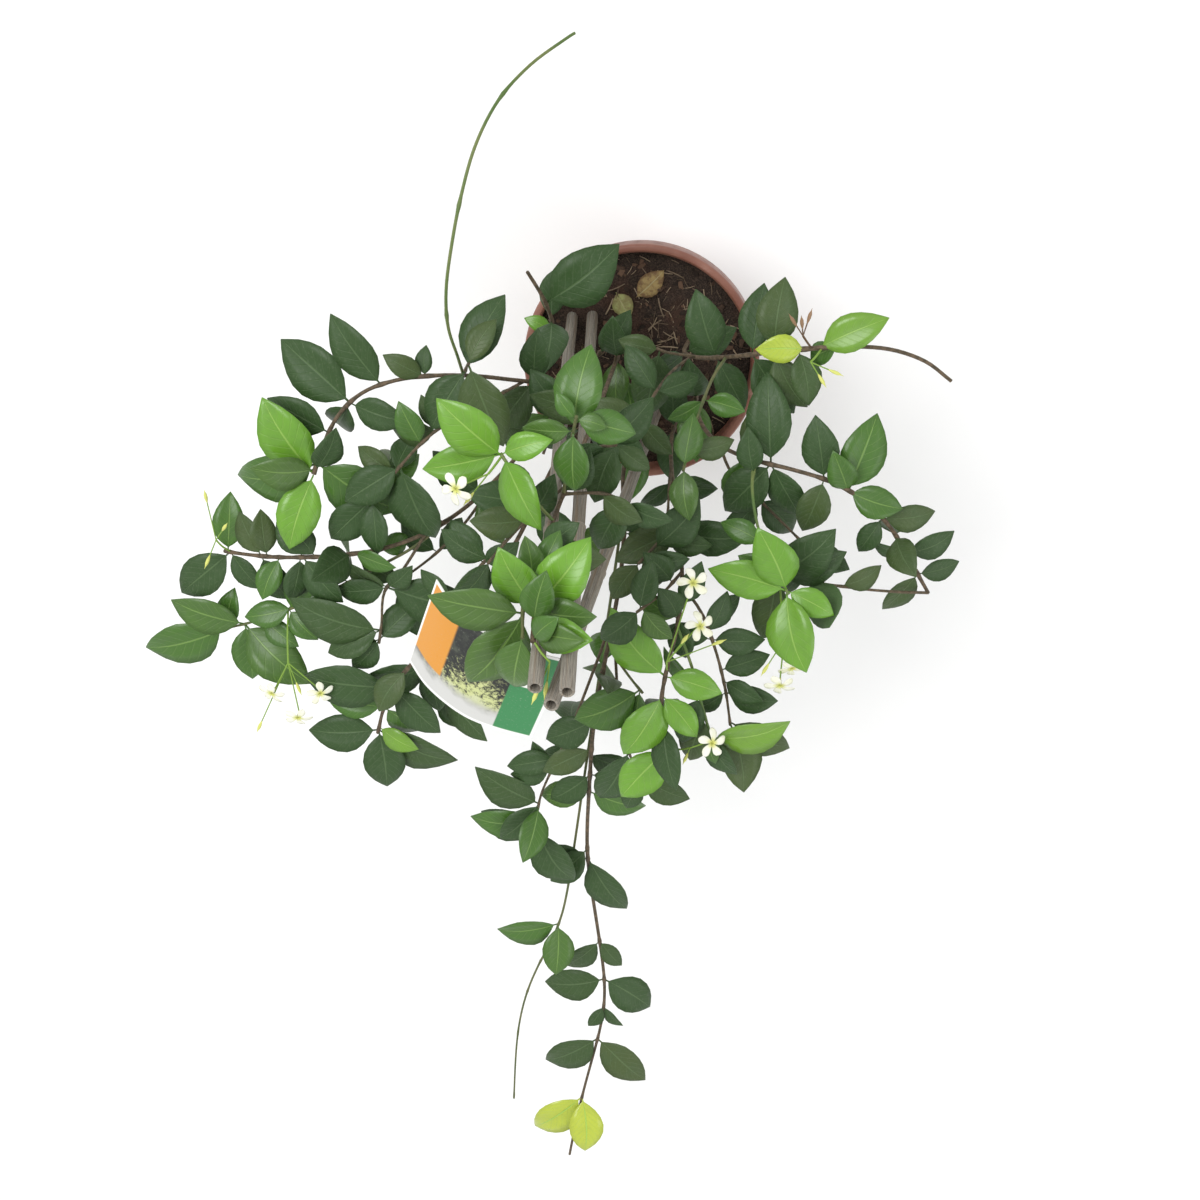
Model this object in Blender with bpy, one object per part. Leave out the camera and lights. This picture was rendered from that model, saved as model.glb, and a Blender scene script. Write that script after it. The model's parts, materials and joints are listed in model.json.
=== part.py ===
# A star jasmine in its round nursery pot, built in metres with +Z up.
#
# The origin is the middle of the pot's foot. +X runs to the right of the photograph and +Y to its top.
# Each leafy stem rises out of its own hole in the soil, and carries its side shoots and leaves as one solid.
# Shoots and leaves are placed where the photograph shows them: a place is written as (across, down, height),
# the pixel of the photograph where it is seen and its real height above the floor.
# Leaves that nothing shows are set by a seeded rule, and every leaf is turned until it is clear of the rest.

import math
import random

import bmesh
import bpy
from mathutils import Matrix, Vector
from mathutils.bvhtree import BVHTree
from mathutils.geometry import intersect_point_line

# The pot and its soil
RIM_RADIUS = 0.105
FOOT_RADIUS = 0.066
POT_HEIGHT = 0.180
WALL = 0.0030
LIP = 0.0045
BAND_HEIGHT = 0.026
SOIL_HEIGHT = 0.158
SOIL_RELIEF = 0.0035
GAP = 0.0004

# The canes and the picture label
CANE_RADIUS = 0.0050
CANE_BORE = 0.0033
CANE_BORE_DEPTH = 0.030
CANE_RINGS = (0.30, 0.68)
LABEL_THICK = 0.0010
LEAN_HEIGHT = 0.590

# The plant
STEM_RADIUS = 0.0021
SHOOT_RADIUS = 0.0014
WHIP_RADIUS = 0.0013
LEAF_THICK = 0.0008
LEAF_LENGTH = 0.056
LEAF_SHAPE = 0.54
LEAF_LONGEST = 0.078
BUD_LENGTH = 0.010
SEED = 31

# How deep things stand in the soil, and the holes they stand in
STEM_DEPTH = 0.030
STEM_HOLE = 0.0027
CANE_HOLE = 0.0058
DRAIN_HOLE = 0.0055
DRAIN_RING = 0.044
DRAINS = 5
FLOOR_THICK = 0.0040

# What leaves and stems keep between them
LEAF_CLEAR = 0.0006
LEAF_CLEAR_NEAR = 0.0003
STEM_CLEAR = 0.0025
CANE_CLEAR = 0.0030
LOWEST_LEAF = 0.225

# Where the photograph was taken from, for turning a pixel and a height into a place
EYE = Vector((0.0701, 0.3063, 1.4946))
ACROSS = Vector((0.9968, -0.0300, -0.0739))
UPWARD = Vector((0.0, 0.9268, -0.3757))
BACKWARD = Vector((0.0797, 0.3745, 0.9238))
PICTURE_MIDDLE = 600
PIXELS_PER_SLOPE = 1500

# Unseen leaves grow only this near to the middle of the thicket
THICKET = Vector((-0.03, -0.10))
THICKET_REACH = 0.24
FILL_SPACING = 0.115
LEAF_APART = 0.017

# Leafy stems. Each has the route of its main stem, from its foot in the soil, and its shoots.
# A shoot is a name, a tone (old, mid, young or lime), the height at which it leaves the main stem, and its
# joints: where each joint is, and the tips of the leaves that grow there.
STEMS = {
    "leafy_stem_north_west": {
        "foot": (-0.052, 0.012),
        "route": ((592, 350, 0.24), (560, 392, 0.33), (520, 378, 0.37), (480, 373, 0.385), (420, 373, 0.39),
                  (381, 378, 0.39), (344, 389, 0.385), (327, 405, 0.38), (325, 436, 0.385),
                  (315, 470, 0.39)),
        "shoots": (
            ("arch", "old", None, (((424, 374, 0.389), (384, 352), (426, 345)),
                                   ((378, 379, 0.389), (329, 315)),
                                   ((340, 391, 0.384), (411, 420), (279, 340)),
                                   ((326, 430, 0.384), (266, 399)))),
            ("arch_end", "mid", None, (((318, 463, 0.389), (214, 487), (410, 520)),)),
            ("arch_tip", "young", None, (((312, 474, 0.390), (261, 399), (289, 550)),)),
            ("whip_foot", "old", 0.386, (((463, 367, 0.40), (437, 318), (504, 294), (430, 430)),
                                          ((468, 364, 0.42), (496, 319), (502, 448)))),
            ("west_inner", "old", 0.36, (((430, 420, 0.40), (380, 440), (420, 395)),
                                          ((400, 470, 0.40), (345, 497), (434, 540)),
                                          ((372, 500, 0.39), (380, 552), (330, 540)))),
        ),
    },
    "leafy_stem_west": {
        "foot": (-0.058, -0.030),
        "route": ((548, 420, 0.26), (470, 510, 0.36), (400, 552, 0.39), (330, 556, 0.39),
                  (262, 560, 0.37), (228, 552, 0.36)),
        "shoots": (
            ("flower_arm", "old", None, (((300, 557, 0.385), (276, 522), (345, 600)),
                                          ((262, 560, 0.37), (238, 512), (290, 600)),
                                          ((231, 552, 0.36), (180, 594), (262, 590)))),
            ("west_low", "old", 0.33, (((440, 560, 0.36), (470, 520), (400, 520)),
                                       ((400, 580, 0.35), (430, 640), (360, 560)))),
            ("left_tip", "mid", 0.37, (((290, 610, 0.36), (330, 560), (318, 640)),
                                        ((246, 627, 0.35), (172, 600), (252, 680), (310, 684)),
                                        ((226, 629, 0.345), (140, 651), (234, 588)))),
            ("lower_left", "old", 0.38, (((360, 618, 0.37), (240, 584), (330, 650)),
                                          ((392, 598, 0.39), (336, 592), (420, 562), (474, 614)),
                                          ((380, 640, 0.38), (352, 668), (420, 600)))),
        ),
    },
    "leafy_stem_south_west": {
        "foot": (-0.030, -0.052),
        "route": ((565, 440, 0.28), (510, 560, 0.40), (450, 630, 0.41), (400, 670, 0.39),
                  (381, 700, 0.37), (378, 730, 0.355)),
        "shoots": (
            ("south_west_tip", "old", None, (((381, 681, 0.38), (307, 674), (440, 734)),
                                              ((378, 729, 0.355), (308, 731), (387, 788), (457, 757)))),
            ("south_west_bright", "young", None, (((379, 727, 0.357), (418, 750)),)),
            ("inner_arm", "old", 0.36, (((480, 560, 0.40), (520, 540), (450, 520)),
                                        ((450, 600, 0.40), (500, 620), (420, 570)))),
            ("under_label", "old", 0.40, (((415, 660, 0.36), (438, 712), (352, 700)),
                                           ((440, 690, 0.35), (468, 730)))),
        ),
    },
    "leafy_stem_crown": {
        "foot": (-0.012, 0.030),
        "route": ((612, 372, 0.27), (590, 430, 0.38), (560, 500, 0.48), (540, 560, 0.55),
                  (532, 600, 0.600), (534, 640, 0.622)),
        "shoots": (
            ("crown_top", "young", None, (((531, 598, 0.600), (590, 538), (484, 552)),
                                           ((535, 636, 0.620), (598, 628)))),
            ("over_label", "mid", 0.56, (((505, 600, 0.615), (466, 692), (428, 590)),
                                          ((520, 634, 0.618), (514, 702)))),
            ("crown_west", "old", 0.45, (((520, 515, 0.48), (470, 520), (556, 470)),
                                         ((490, 560, 0.48), (440, 530), (520, 600), (452, 600)))),
            ("crown_low", "old", 0.34, (((570, 400, 0.36), (530, 370), (610, 410)),
                                        ((545, 450, 0.38), (500, 430), (590, 470)))),
            ("rosette_west", "young", 0.50, (((499, 456, 0.52), (436, 400), (550, 525)),
                                              ((500, 454, 0.512), (552, 440), (422, 470)))),
            ("rosette_middle", "mid", 0.46, (((574, 419, 0.50), (588, 344), (522, 428), (574, 492)),
                                              ((576, 417, 0.515), (607, 428), (556, 392), (638, 436)))),
            ("rosette_right", "old", 0.44, (((602, 413, 0.45), (654, 398), (560, 455)),
                                             ((615, 440, 0.46), (650, 470), (596, 500)))),
            ("crown_south", "old", 0.47, (((600, 470, 0.47), (640, 520), (570, 540)),
                                           ((625, 500, 0.47), (672, 520), (600, 560)))),
        ),
    },
    "leafy_stem_south": {
        "foot": (0.004, -0.058),
        "route": ((630, 450, 0.27), (625, 560, 0.37), (605, 660, 0.41), (592, 722, 0.40), (591, 762, 0.375),
                  (588, 807, 0.345), (586, 858, 0.31), (594, 902, 0.28), (599, 940, 0.255),
                  (606, 979, 0.235),
                  (606, 1008, 0.22), (598, 1038, 0.205), (582, 1095, 0.18), (575, 1125, 0.17),
                  (570, 1152, 0.165)),
        "shoots": (
            ("skirt", "old", None, (((592, 724, 0.40), (545, 740), (640, 690)),
                                     ((590, 775, 0.367), (550, 800), (640, 775)),
                                     ((586, 858, 0.31), (626, 911), (534, 850)))),
            ("trail", "old", None, (((599, 940, 0.255), (622, 966), (562, 966)),
                                     ((606, 979, 0.235), (544, 983), (651, 1008)),
                                     ((606, 1006, 0.221), (588, 1024), (623, 1024)),
                                     ((598, 1038, 0.205), (540, 1064), (645, 1082)))),
            ("trail_tip", "lime", None, (((581, 1096, 0.180), (526, 1133), (588, 1147)),)),
            ("second_trail", "mid", 0.31, (((569, 881, 0.30),),
                                            ((561, 924, 0.275), (497, 931), (556, 976)),
                                            ((540, 960, 0.25),),
                                            ((526, 991, 0.235),),
                                            ((517, 1031, 0.21),),
                                            ((514, 1096, 0.18),))),
            ("skirt_left", "old", 0.39, (((553, 772, 0.37), (532, 742), (510, 775)),
                                          ((530, 800, 0.35), (476, 762), (500, 840)),
                                          ((536, 828, 0.34), (574, 882), (480, 812)))),
            ("skirt_right", "old", 0.395, (((622, 752, 0.38), (600, 800), (655, 720)),
                                            ((640, 778, 0.37), (690, 800), (625, 812)))),
            ("behind_canes", "mid", 0.405, (((640, 690, 0.42), (574, 720), (636, 740)),)),
        ),
    },
    "leafy_stem_south_east": {
        "foot": (0.036, -0.044),
        "route": ((668, 440, 0.28), (680, 540, 0.38), (690, 600, 0.42), (672, 655, 0.44),
                  (652, 690, 0.445), (658, 722, 0.43), (668, 748, 0.42)),
        "shoots": (
            ("south_east_bright", "young", None, (((652, 680, 0.445), (607, 616), (722, 694)),)),
            ("south_east_low", "young", None, (((653, 698, 0.442), (697, 738), (624, 756)),
                                                ((668, 748, 0.42), (621, 798)))),
            ("pot_front", "old", 0.30, (((672, 470, 0.33), (640, 505), (718, 490)),
                                        ((668, 515, 0.35), (610, 520), (715, 545)))),
            ("high_arm", "old", 0.40, (((640, 610, 0.45), (600, 640), (652, 560)),)),
            ("big_right_leaf", "young", 0.43, (((711, 738, 0.42), (790, 724)),)),
            ("dark_arm", "old", 0.41, (((719, 640, 0.42), (668, 626), (765, 640)),
                                        ((728, 694, 0.41), (778, 702), (690, 710)),
                                        ((730, 722, 0.40), (790, 750), (742, 790)))),
            ("mid_dark", "old", 0.37, (((655, 530, 0.42), (655, 588), (700, 500)),
                                        ((640, 560, 0.42), (612, 600), (690, 560)))),
        ),
    },
    "leafy_stem_east": {
        "foot": (0.058, -0.016),
        "route": ((690, 400, 0.26), (715, 456, 0.34), (765, 462, 0.37), (820, 474, 0.375),
                  (858, 484, 0.37), (889, 514, 0.36),
                  (904, 545, 0.35), (914, 573, 0.34), (926, 590, 0.335)),
        "shoots": (
            ("east_arm", "old", None, (((768, 463, 0.37), (800, 517), (712, 500), (767, 372)),
                                        ((826, 476, 0.374), (802, 532), (815, 416)),
                                        ((889, 514, 0.36), (936, 512), (858, 552)),
                                        ((907, 553, 0.347), (955, 532), (872, 540)),
                                        ((915, 575, 0.34), (960, 562), (884, 618)))),
            ("east_bright", "mid", None, (((856, 483, 0.37), (903, 509), (832, 444), (878, 414)),)),
            ("east_low", "old", 0.33, (((760, 500, 0.35), (720, 540), (800, 540)),
                                       ((800, 540, 0.34), (850, 570), (770, 590)))),
            ("trio", "young", 0.36, (((750, 540, 0.40),),
                                      ((786, 591, 0.42), (708, 570), (757, 524), (834, 616), (804, 671)))),
            ("trio_back", "old", 0.38, (((776, 575, 0.385), (847, 553), (836, 526), (762, 640)),)),
        ),
    },
    "leafy_stem_north_east": {
        "foot": (0.046, 0.022),
        "route": ((676, 356, 0.25), (712, 360, 0.31), (753, 354, 0.345), (790, 350, 0.36),
                  (818, 347, 0.365), (858, 344, 0.36),
                  (892, 341, 0.355), (925, 342, 0.35), (942, 352, 0.345), (950, 377, 0.34)),
        "shoots": (
            ("north_east_arm", "old", None, (((712, 360, 0.31), (696, 290), (745, 410)),
                                              ((748, 356, 0.34), (764, 283), (795, 414)))),
            ("yellow_leaf", "lime", None, (((806, 349, 0.363), (755, 348)),)),
            ("north_east_tip", "young", None, (((818, 347, 0.365), (889, 318)),)),
            ("north_east_low", "mid", 0.31, (((700, 395, 0.36), (745, 412), (668, 420)),
                                              ((684, 467, 0.40), (694, 414), (690, 520)))),
            ("pot_cover", "old", 0.27, (((650, 385, 0.32), (625, 345), (700, 375)),
                                        ((640, 420, 0.35), (590, 400), (672, 455)))),
            ("over_pot", "old", 0.28, (((660, 350, 0.29), (618, 340), (645, 420)),)),
        ),
    },
    "leafy_stem_pot_edge": {
        "foot": (-0.078, 0.016),
        "route": ((552, 345, 0.215), (556, 328, 0.25), (554, 306, 0.275), (543, 290, 0.285),
                  (530, 275, 0.29)),
        "shoots": (
            ("pot_leaf", "old", None, (((557, 306, 0.273), (619, 245)),)),
            ("pot_bright", "young", None, (((554, 334, 0.235), (524, 318)),)),
        ),
    },
}

# Tips of more leaves that the photograph shows, grown from whichever stem is near and high there
MORE_TIPS = (
    (338, 425), (352, 452), (322, 446), (398, 402), (250, 468), (230, 492), (262, 508), (284, 522),
    (243, 394),
    (300, 572), (342, 566), (262, 600), (246, 614), (290, 604), (300, 646), (332, 656), (410, 450),
    (428, 430),
    (452, 444), (396, 520), (402, 552), (422, 536), (378, 712), (720, 522), (712, 546), (738, 556),
    (728, 590),
    (748, 602), (702, 562), (770, 655), (764, 700), (735, 440), (748, 428), (800, 372), (806, 402),
    (882, 566),
    (660, 576), (640, 592), (606, 560), (600, 612), (594, 642), (690, 766), (716, 772), (682, 744),
    (736, 772),
    (672, 640), (655, 660), (690, 666), (525, 536), (560, 530), (546, 572), (562, 610), (500, 466),
    (490, 738),
    (508, 762), (470, 818), (516, 850), (550, 882), (545, 764), (640, 546), (575, 575), (588, 560),
    (580, 520),
)
MORE_REACH = (26, 74)

# Long bare shoots that reach out past the leaves
WHIPS = {
    "leafy_stem_north_west": ((463, 371, 0.388), (452, 350, 0.42), (438, 330, 0.44), (440, 295, 0.455),
                              (452, 250, 0.46),
                              (461, 180, 0.455), (474, 122, 0.445), (489, 92, 0.435), (513, 68, 0.425),
                              (545, 49, 0.41), (571, 35, 0.395)),
}


def seen(place):
    """The point in metres that the photograph shows at this pixel, at this height above the floor."""
    across, down, height = place
    slope_x = (across - PICTURE_MIDDLE) / PIXELS_PER_SLOPE
    slope_y = (PICTURE_MIDDLE - down) / PIXELS_PER_SLOPE
    ray = ACROSS * slope_x + UPWARD * slope_y - BACKWARD
    return EYE + ray * ((height - EYE.z) / ray.z)


def pixel_of(point):
    """The pixel at which the photograph shows a point."""
    ray = point - EYE
    depth = -ray.dot(BACKWARD)
    return Vector((PICTURE_MIDDLE + PIXELS_PER_SLOPE * ray.dot(ACROSS) / depth,
                   PICTURE_MIDDLE - PIXELS_PER_SLOPE * ray.dot(UPWARD) / depth))


# Flowers. Each bunch has the place its stalk leaves the stem, its fork, and its heads as
# (across, down, height, span in millimetres); a head with a span of 0 is a closed bud.
BUNCHES = {
    "flowers_west_rosette": (("leafy_stem_crown", 497, 458, 0.50), (478, 474, 0.525),
                             ((456, 489, 0.540, 24), (470, 497, 0.530, 0))),
    "flowers_south_middle": (("leafy_stem_south_east", 654, 688, 0.445), (676, 662, 0.462),
                             ((693, 583, 0.470, 24), (700, 626, 0.470, 23), (717, 643, 0.465, 0),
                             (684, 640, 0.470, 0))),
    "flowers_south_east": (("leafy_stem_south_east", 666, 745, 0.42), (690, 748, 0.432),
                           ((712, 743, 0.440, 24), (686, 757, 0.440, 0))),
    "flowers_east": (("leafy_stem_east", 786, 592, 0.41), (784, 640, 0.425), ((780, 685, 0.430, 25),
                     (766, 668, 0.430, 0), (792, 668, 0.425, 22))),
    "flowers_south_west": (("leafy_stem_west", 290, 612, 0.36), (290, 660, 0.372),
                           ((274, 690, 0.380, 24), (300, 714, 0.380, 24), (322, 690, 0.385, 23),
                           (262, 722, 0.375, 0), (300, 684, 0.382, 0))),
    "buds_west": (("leafy_stem_west", 231, 552, 0.36), (216, 540, 0.372), ((206, 498, 0.380, 0),
                  (224, 528, 0.380, 0), (208, 560, 0.378, 0))),
    "buds_north_east": (("leafy_stem_north_east", 818, 347, 0.365), (820, 362, 0.375),
                        ((821, 379, 0.380, 0), (834, 372, 0.380, 0))),
    "dry_flowers_north_east": (("leafy_stem_north_east", 808, 348, 0.365), (803, 336, 0.372),
                               ((802, 324, 0.376, 0), (794, 322, 0.374, 0), (809, 318, 0.374, 0))),
    "buds_crown": (("leafy_stem_crown", 534, 640, 0.622), (539, 662, 0.632), ((546, 688, 0.640, 0),
                   (536, 694, 0.636, 0))),
}

# The canes: where each stands in the soil, and where the photograph shows its open end
CANES = {
    "cane_a": ((-0.044, 0.038), (567, 692, 0.660), 0.045),
    "cane_b": ((-0.062, 0.038), (535, 688, 0.655), 0.030),
    "cane_c": ((0.012, -0.050), (551, 705, 0.652), 0.060),
}

# Fallen leaves on the soil: base, tip and width in metres
FALLEN = {
    "fallen_leaf_brown": ((636, 297), (664, 270), 0.018),
    "fallen_leaf_olive": ((616, 292), (630, 318), 0.017),
    "fallen_leaf_pale": ((700, 308), (722, 328), 0.016),
    "fallen_leaf_small": ((694, 415), (704, 431), 0.010),
}

# Lower long edge of the picture label
LABEL_EDGE = ((409, 660, 0.522), (424, 683, 0.533), (444, 702, 0.542), (468, 718, 0.549),
(497, 729, 0.554), (531, 738, 0.556))

TONES = {
    "old": (0.055, 0.095, 0.060),
    "mid": (0.070, 0.170, 0.050),
    "young": (0.150, 0.380, 0.050),
    "lime": (0.420, 0.520, 0.060),
}

for thing in list(bpy.data.objects):
    bpy.data.objects.remove(thing, do_unlink=True)


def paint(name, colour, roughness):
    """A plain Principled material."""
    material = bpy.data.materials.new(name)
    material.use_nodes = True
    shader = material.node_tree.nodes["Principled BSDF"]
    shader.inputs["Base Color"].default_value = (*colour, 1.0)
    shader.inputs["Roughness"].default_value = roughness
    return material


def make_object(name, points, faces, material=None):
    """A mesh object from points and faces, with its faces turned outward."""
    mesh = bpy.data.meshes.new(name)
    mesh.from_pydata([tuple(point) for point in points], [], faces)
    shape = bmesh.new()
    shape.from_mesh(mesh)
    bmesh.ops.recalc_face_normals(shape, faces=shape.faces)
    if shape.calc_volume(signed=True) < 0:
        bmesh.ops.reverse_faces(shape, faces=shape.faces)
    shape.to_mesh(mesh)
    shape.free()
    thing = bpy.data.objects.new(name, mesh)
    bpy.context.scene.collection.objects.link(thing)
    if material is not None:
        mesh.materials.append(material)
    return thing


def smooth_route(places, spacing, before=None):
    """Points along a smooth curve through the places, about as far apart as the spacing."""
    ends = [before or places[0] * 2 - places[1]] + list(places) + [places[-1] * 2 - places[-2]]
    line = [places[0].copy()]
    for a, b, c, d in zip(ends, ends[1:], ends[2:], ends[3:]):
        steps = max(1, round((c - b).length / spacing))
        for step in range(1, steps + 1):
            t = step / steps
            square = a * 2 - b * 5 + c * 4 - d
            cube = b * 3 - a - c * 3 + d
            line.append((b * 2 + (c - a) * t + square * t * t + cube * t ** 3) / 2)
    return line


def tube_parts(line, radii, sides):
    """Points and faces of a closed tube along a line."""
    points = []
    faces = []
    way = (line[1] - line[0]).normalized()
    side = way.orthogonal().normalized()
    for index, centre in enumerate(line):
        ahead = line[min(index + 1, len(line) - 1)]
        behind = line[max(index - 1, 0)]
        new_way = (ahead - behind).normalized()
        side = (way.rotation_difference(new_way) @ side).normalized()
        side = (side - new_way * side.dot(new_way)).normalized()
        way = new_way
        other = way.cross(side)
        for number in range(sides):
            turn = 2 * math.pi * number / sides
            points.append(centre + (side * math.cos(turn) + other * math.sin(turn)) * radii[index])
    for ring in range(len(line) - 1):
        for number in range(sides):
            following = (number + 1) % sides
            low = ring * sides
            high = low + sides
            faces.append((low + number, low + following, high + following))
            faces.append((low + number, high + following, high + number))
    last = (len(line) - 1) * sides
    for number in range(1, sides - 1):
        faces.append((0, number + 1, number))
        faces.append((last, last + number, last + number + 1))
    return points, faces


BLADE_ROWS = ((0.28, 0.92), (0.68, 0.92))


def blade_parts(leaf, grow=0.0, skip_foot=False):
    """Points and faces of one leaf: a folded, bowed blade, cut into the same triangles above and below."""
    root = leaf["root"]
    way = leaf["tip"] - root
    length = way.length
    way = way / length
    side = way.cross(leaf["up"]).normalized()
    face = side.cross(way)
    half = leaf["width"] / 2 + grow
    thick = leaf["thick"] / 2 + grow
    middle = []
    rows = list(BLADE_ROWS)
    if skip_foot:
        rows.insert(0, (0.11, 0.30))
    for share, wide in rows:
        lift = leaf["bow"] * length * math.sin(math.pi * share)
        centre = root + way * (length * share) + face * lift
        edge = half * wide
        raised = leaf["fold"] * edge
        middle.append((centre - side * edge + face * raised, centre, centre + side * edge + face * raised))
    end = leaf["tip"] + way * grow
    points = []
    for level in (thick, -thick):
        if not skip_foot:
            points.append(root + face * level)
        for row in middle:
            points.extend(place + face * level for place in row)
        points.append(end + face * level)
    return points, blade_faces(len(middle), not skip_foot)


def blade_faces(count, pointed):
    """The triangles of a blade with so many rows of three, with a pointed or a cut foot."""
    first = 1 if pointed else 0
    each = first + 3 * count + 1
    top = []
    if pointed:
        top += [(0, 1, 2), (0, 2, 3)]
    for row in range(count - 1):
        a = first + 3 * row
        top += [(a, a + 3, a + 4), (a, a + 4, a + 1), (a + 1, a + 4, a + 2), (a + 2, a + 4, a + 5)]
    a = first + 3 * (count - 1)
    top += [(a, each - 1, a + 1), (a + 1, each - 1, a + 2)]
    left = [first + 3 * row for row in range(count)]
    right = [first + 3 * row + 2 for row in range(count)]
    if pointed:
        rim = [0] + left + [each - 1] + right[::-1]
    else:
        rim = [first + 1] + left + [each - 1] + right[::-1]
    faces = list(top)
    faces += [(c + each, b + each, a + each) for a, b, c in top]
    for a, b in zip(rim, rim[1:] + rim[:1]):
        faces += [(a, a + each, b + each), (a, b + each, b)]
    return faces


def tree_of(points, faces):
    return BVHTree.FromPolygons([tuple(point) for point in points], faces)


# Lay out every stem and shoot as a line
chance = random.Random(SEED)
LINES = []


def add_line(stem, places, radius, parent=None, thin=0.75):
    free = 1
    if parent is None:
        below = places[1] - Vector((0.0, 0.0, (places[2] - places[1]).length))
        line = [places[0]] + smooth_route(places[1:], 0.012, below)
        free = 3
    else:
        line = smooth_route(places, 0.012)
    line.append(line[-1] + (line[-1] - line[-2]).normalized() * 0.0035)
    LINES.append({"stem": stem, "line": line, "radius": radius, "parent": parent, "thin": thin, "free": free})
    return len(LINES) - 1


def nearest_on(index, height):
    """The first point of a line that stands as high as this."""
    line = LINES[index]["line"]
    for number, point in enumerate(line):
        if point.z >= height:
            return number
    return len(line) - 1


SHOOT_JOINTS = []
for stem, data in STEMS.items():
    foot = Vector((*data["foot"], SOIL_HEIGHT - STEM_DEPTH))
    neck = Vector((*data["foot"], SOIL_HEIGHT + 0.010))
    route = [foot, neck] + [seen(place) for place in data["route"]]
    main = add_line(stem, route, STEM_RADIUS)
    for shoot, tone, leaves_at, joints in data["shoots"]:
        if leaves_at is None:
            for joint, *tips in joints:
                SHOOT_JOINTS.append((stem, main, tone, seen(joint), tips))
            continue
        start = nearest_on(main, leaves_at)
        base = LINES[main]["line"][start]
        spots = [seen(joint[0]) for joint in joints]
        rise = (spots[0] - base)
        knee = base + rise * 0.45 + Vector((0.0, 0.0, 0.10 * rise.length))
        places = [base.copy(), knee] + spots
        shoot_line = add_line(stem, places, SHOOT_RADIUS, (main, start))
        for joint, *tips in joints:
            SHOOT_JOINTS.append((stem, shoot_line, tone, seen(joint), tips))
for stem, places in WHIPS.items():
    main = next(index for index, item in enumerate(LINES) if item["stem"] == stem)
    first = seen(places[0])
    line = LINES[main]["line"]
    start = min(range(len(line)), key=lambda number: (line[number] - first).length)
    spots = [line[start].copy()] + [seen(place) for place in places[1:]]
    add_line(stem, spots, WHIP_RADIUS, (main, start), 0.9)

CANE_ENDS = {}
for name, (foot, top, depth) in CANES.items():
    high = seen(top)
    stand = Vector((*foot, SOIL_HEIGHT))
    way = (stand - high).normalized()
    CANE_ENDS[name] = (high, stand + way * (depth / -way.z))


def segment_gap(p, q, a, b):
    """The closest points of two short segments, one on each."""
    u = q - p
    v = b - a
    w = p - a
    uu = u.dot(u)
    uv = u.dot(v)
    vv = v.dot(v)
    uw = u.dot(w)
    vw = v.dot(w)
    base = uu * vv - uv * uv
    s = 0.0 if base < 1e-14 else min(1.0, max(0.0, (uv * vw - vv * uw) / base))
    t = min(1.0, max(0.0, (uv * s + vw) / vv)) if vv > 0 else 0.0
    s = min(1.0, max(0.0, (uv * t - uw) / uu)) if uu > 0 else 0.0
    return p + u * s, a + v * t


ROUNDS = 60


def push_apart():
    """Move the points of crossing stems, and of stems that cross canes, until all are clear."""
    for _ in range(ROUNDS):
        moved = 0
        boxes = []
        for item in LINES:
            for number in range(len(item["line"]) - 1):
                a = item["line"][number]
                b = item["line"][number + 1]
                boxes.append((item, number, (a + b) / 2, (a - b).length / 2))
        for first in range(len(boxes)):
            item, number, centre, reach = boxes[first]
            for high, low in CANE_ENDS.values():
                a, b = segment_gap(item["line"][number], item["line"][number + 1], high, low)
                need = item["radius"] + CANE_RADIUS + CANE_CLEAR
                away = a - b
                if away.length < need and number >= item["free"] - 1:
                    shift = away.normalized() * (need - away.length + 0.0003)
                    for spot in (number, number + 1):
                        if spot >= item["free"]:
                            item["line"][spot] += shift
                    moved += 1
            for second in range(first + 1, len(boxes)):
                other, other_number, other_centre, other_reach = boxes[second]
                if other["stem"] == item["stem"]:
                    continue
                need = item["radius"] + other["radius"] + STEM_CLEAR
                if (centre - other_centre).length > reach + other_reach + need:
                    continue
                a, b = segment_gap(item["line"][number], item["line"][number + 1],
                                   other["line"][other_number], other["line"][other_number + 1])
                away = a - b
                if away.length >= need:
                    continue
                if away.length < 1e-6:
                    away = Vector((0.0, 0.0, 1e-6))
                shift = away.normalized() * ((need - away.length) / 2 + 0.0003)
                for spot in (number, number + 1):
                    if spot >= item["free"]:
                        item["line"][spot] += shift
                for spot in (other_number, other_number + 1):
                    if spot >= other["free"]:
                        other["line"][spot] -= shift
                moved += 1
        for item in LINES:
            line = item["line"]
            if item["parent"] is not None:
                parent, start = item["parent"]
                line[0] = LINES[parent]["line"][start].copy()
            smoothed = [point.copy() for point in line]
            for number in range(max(2, item["free"]), len(line) - 1):
                smoothed[number] = line[number] * 0.8 + (line[number - 1] + line[number + 1]) * 0.1
            if moved:
                item["line"] = smoothed
        if moved == 0:
            return


push_apart()


def thin_out(line, spacing, free):
    """Keep the points of a line that are about this far apart, with both ends and its foot."""
    kept = [0] if free == 1 else [0, 1]
    for number in range(kept[-1] + 1, len(line) - 1):
        if (line[number] - line[kept[-1]]).length >= spacing:
            kept.append(number)
    kept.append(len(line) - 1)
    return kept


def on_line(item, spot):
    """The point of a stem's own line that is nearest to a spot."""
    best = None
    for a, b in zip(item["line"], item["line"][1:]):
        point, share = intersect_point_line(spot, a, b)
        point = a.lerp(b, min(1.0, max(0.0, share)))
        if best is None or (point - spot).length < (best - spot).length:
            best = point
    return best


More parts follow.
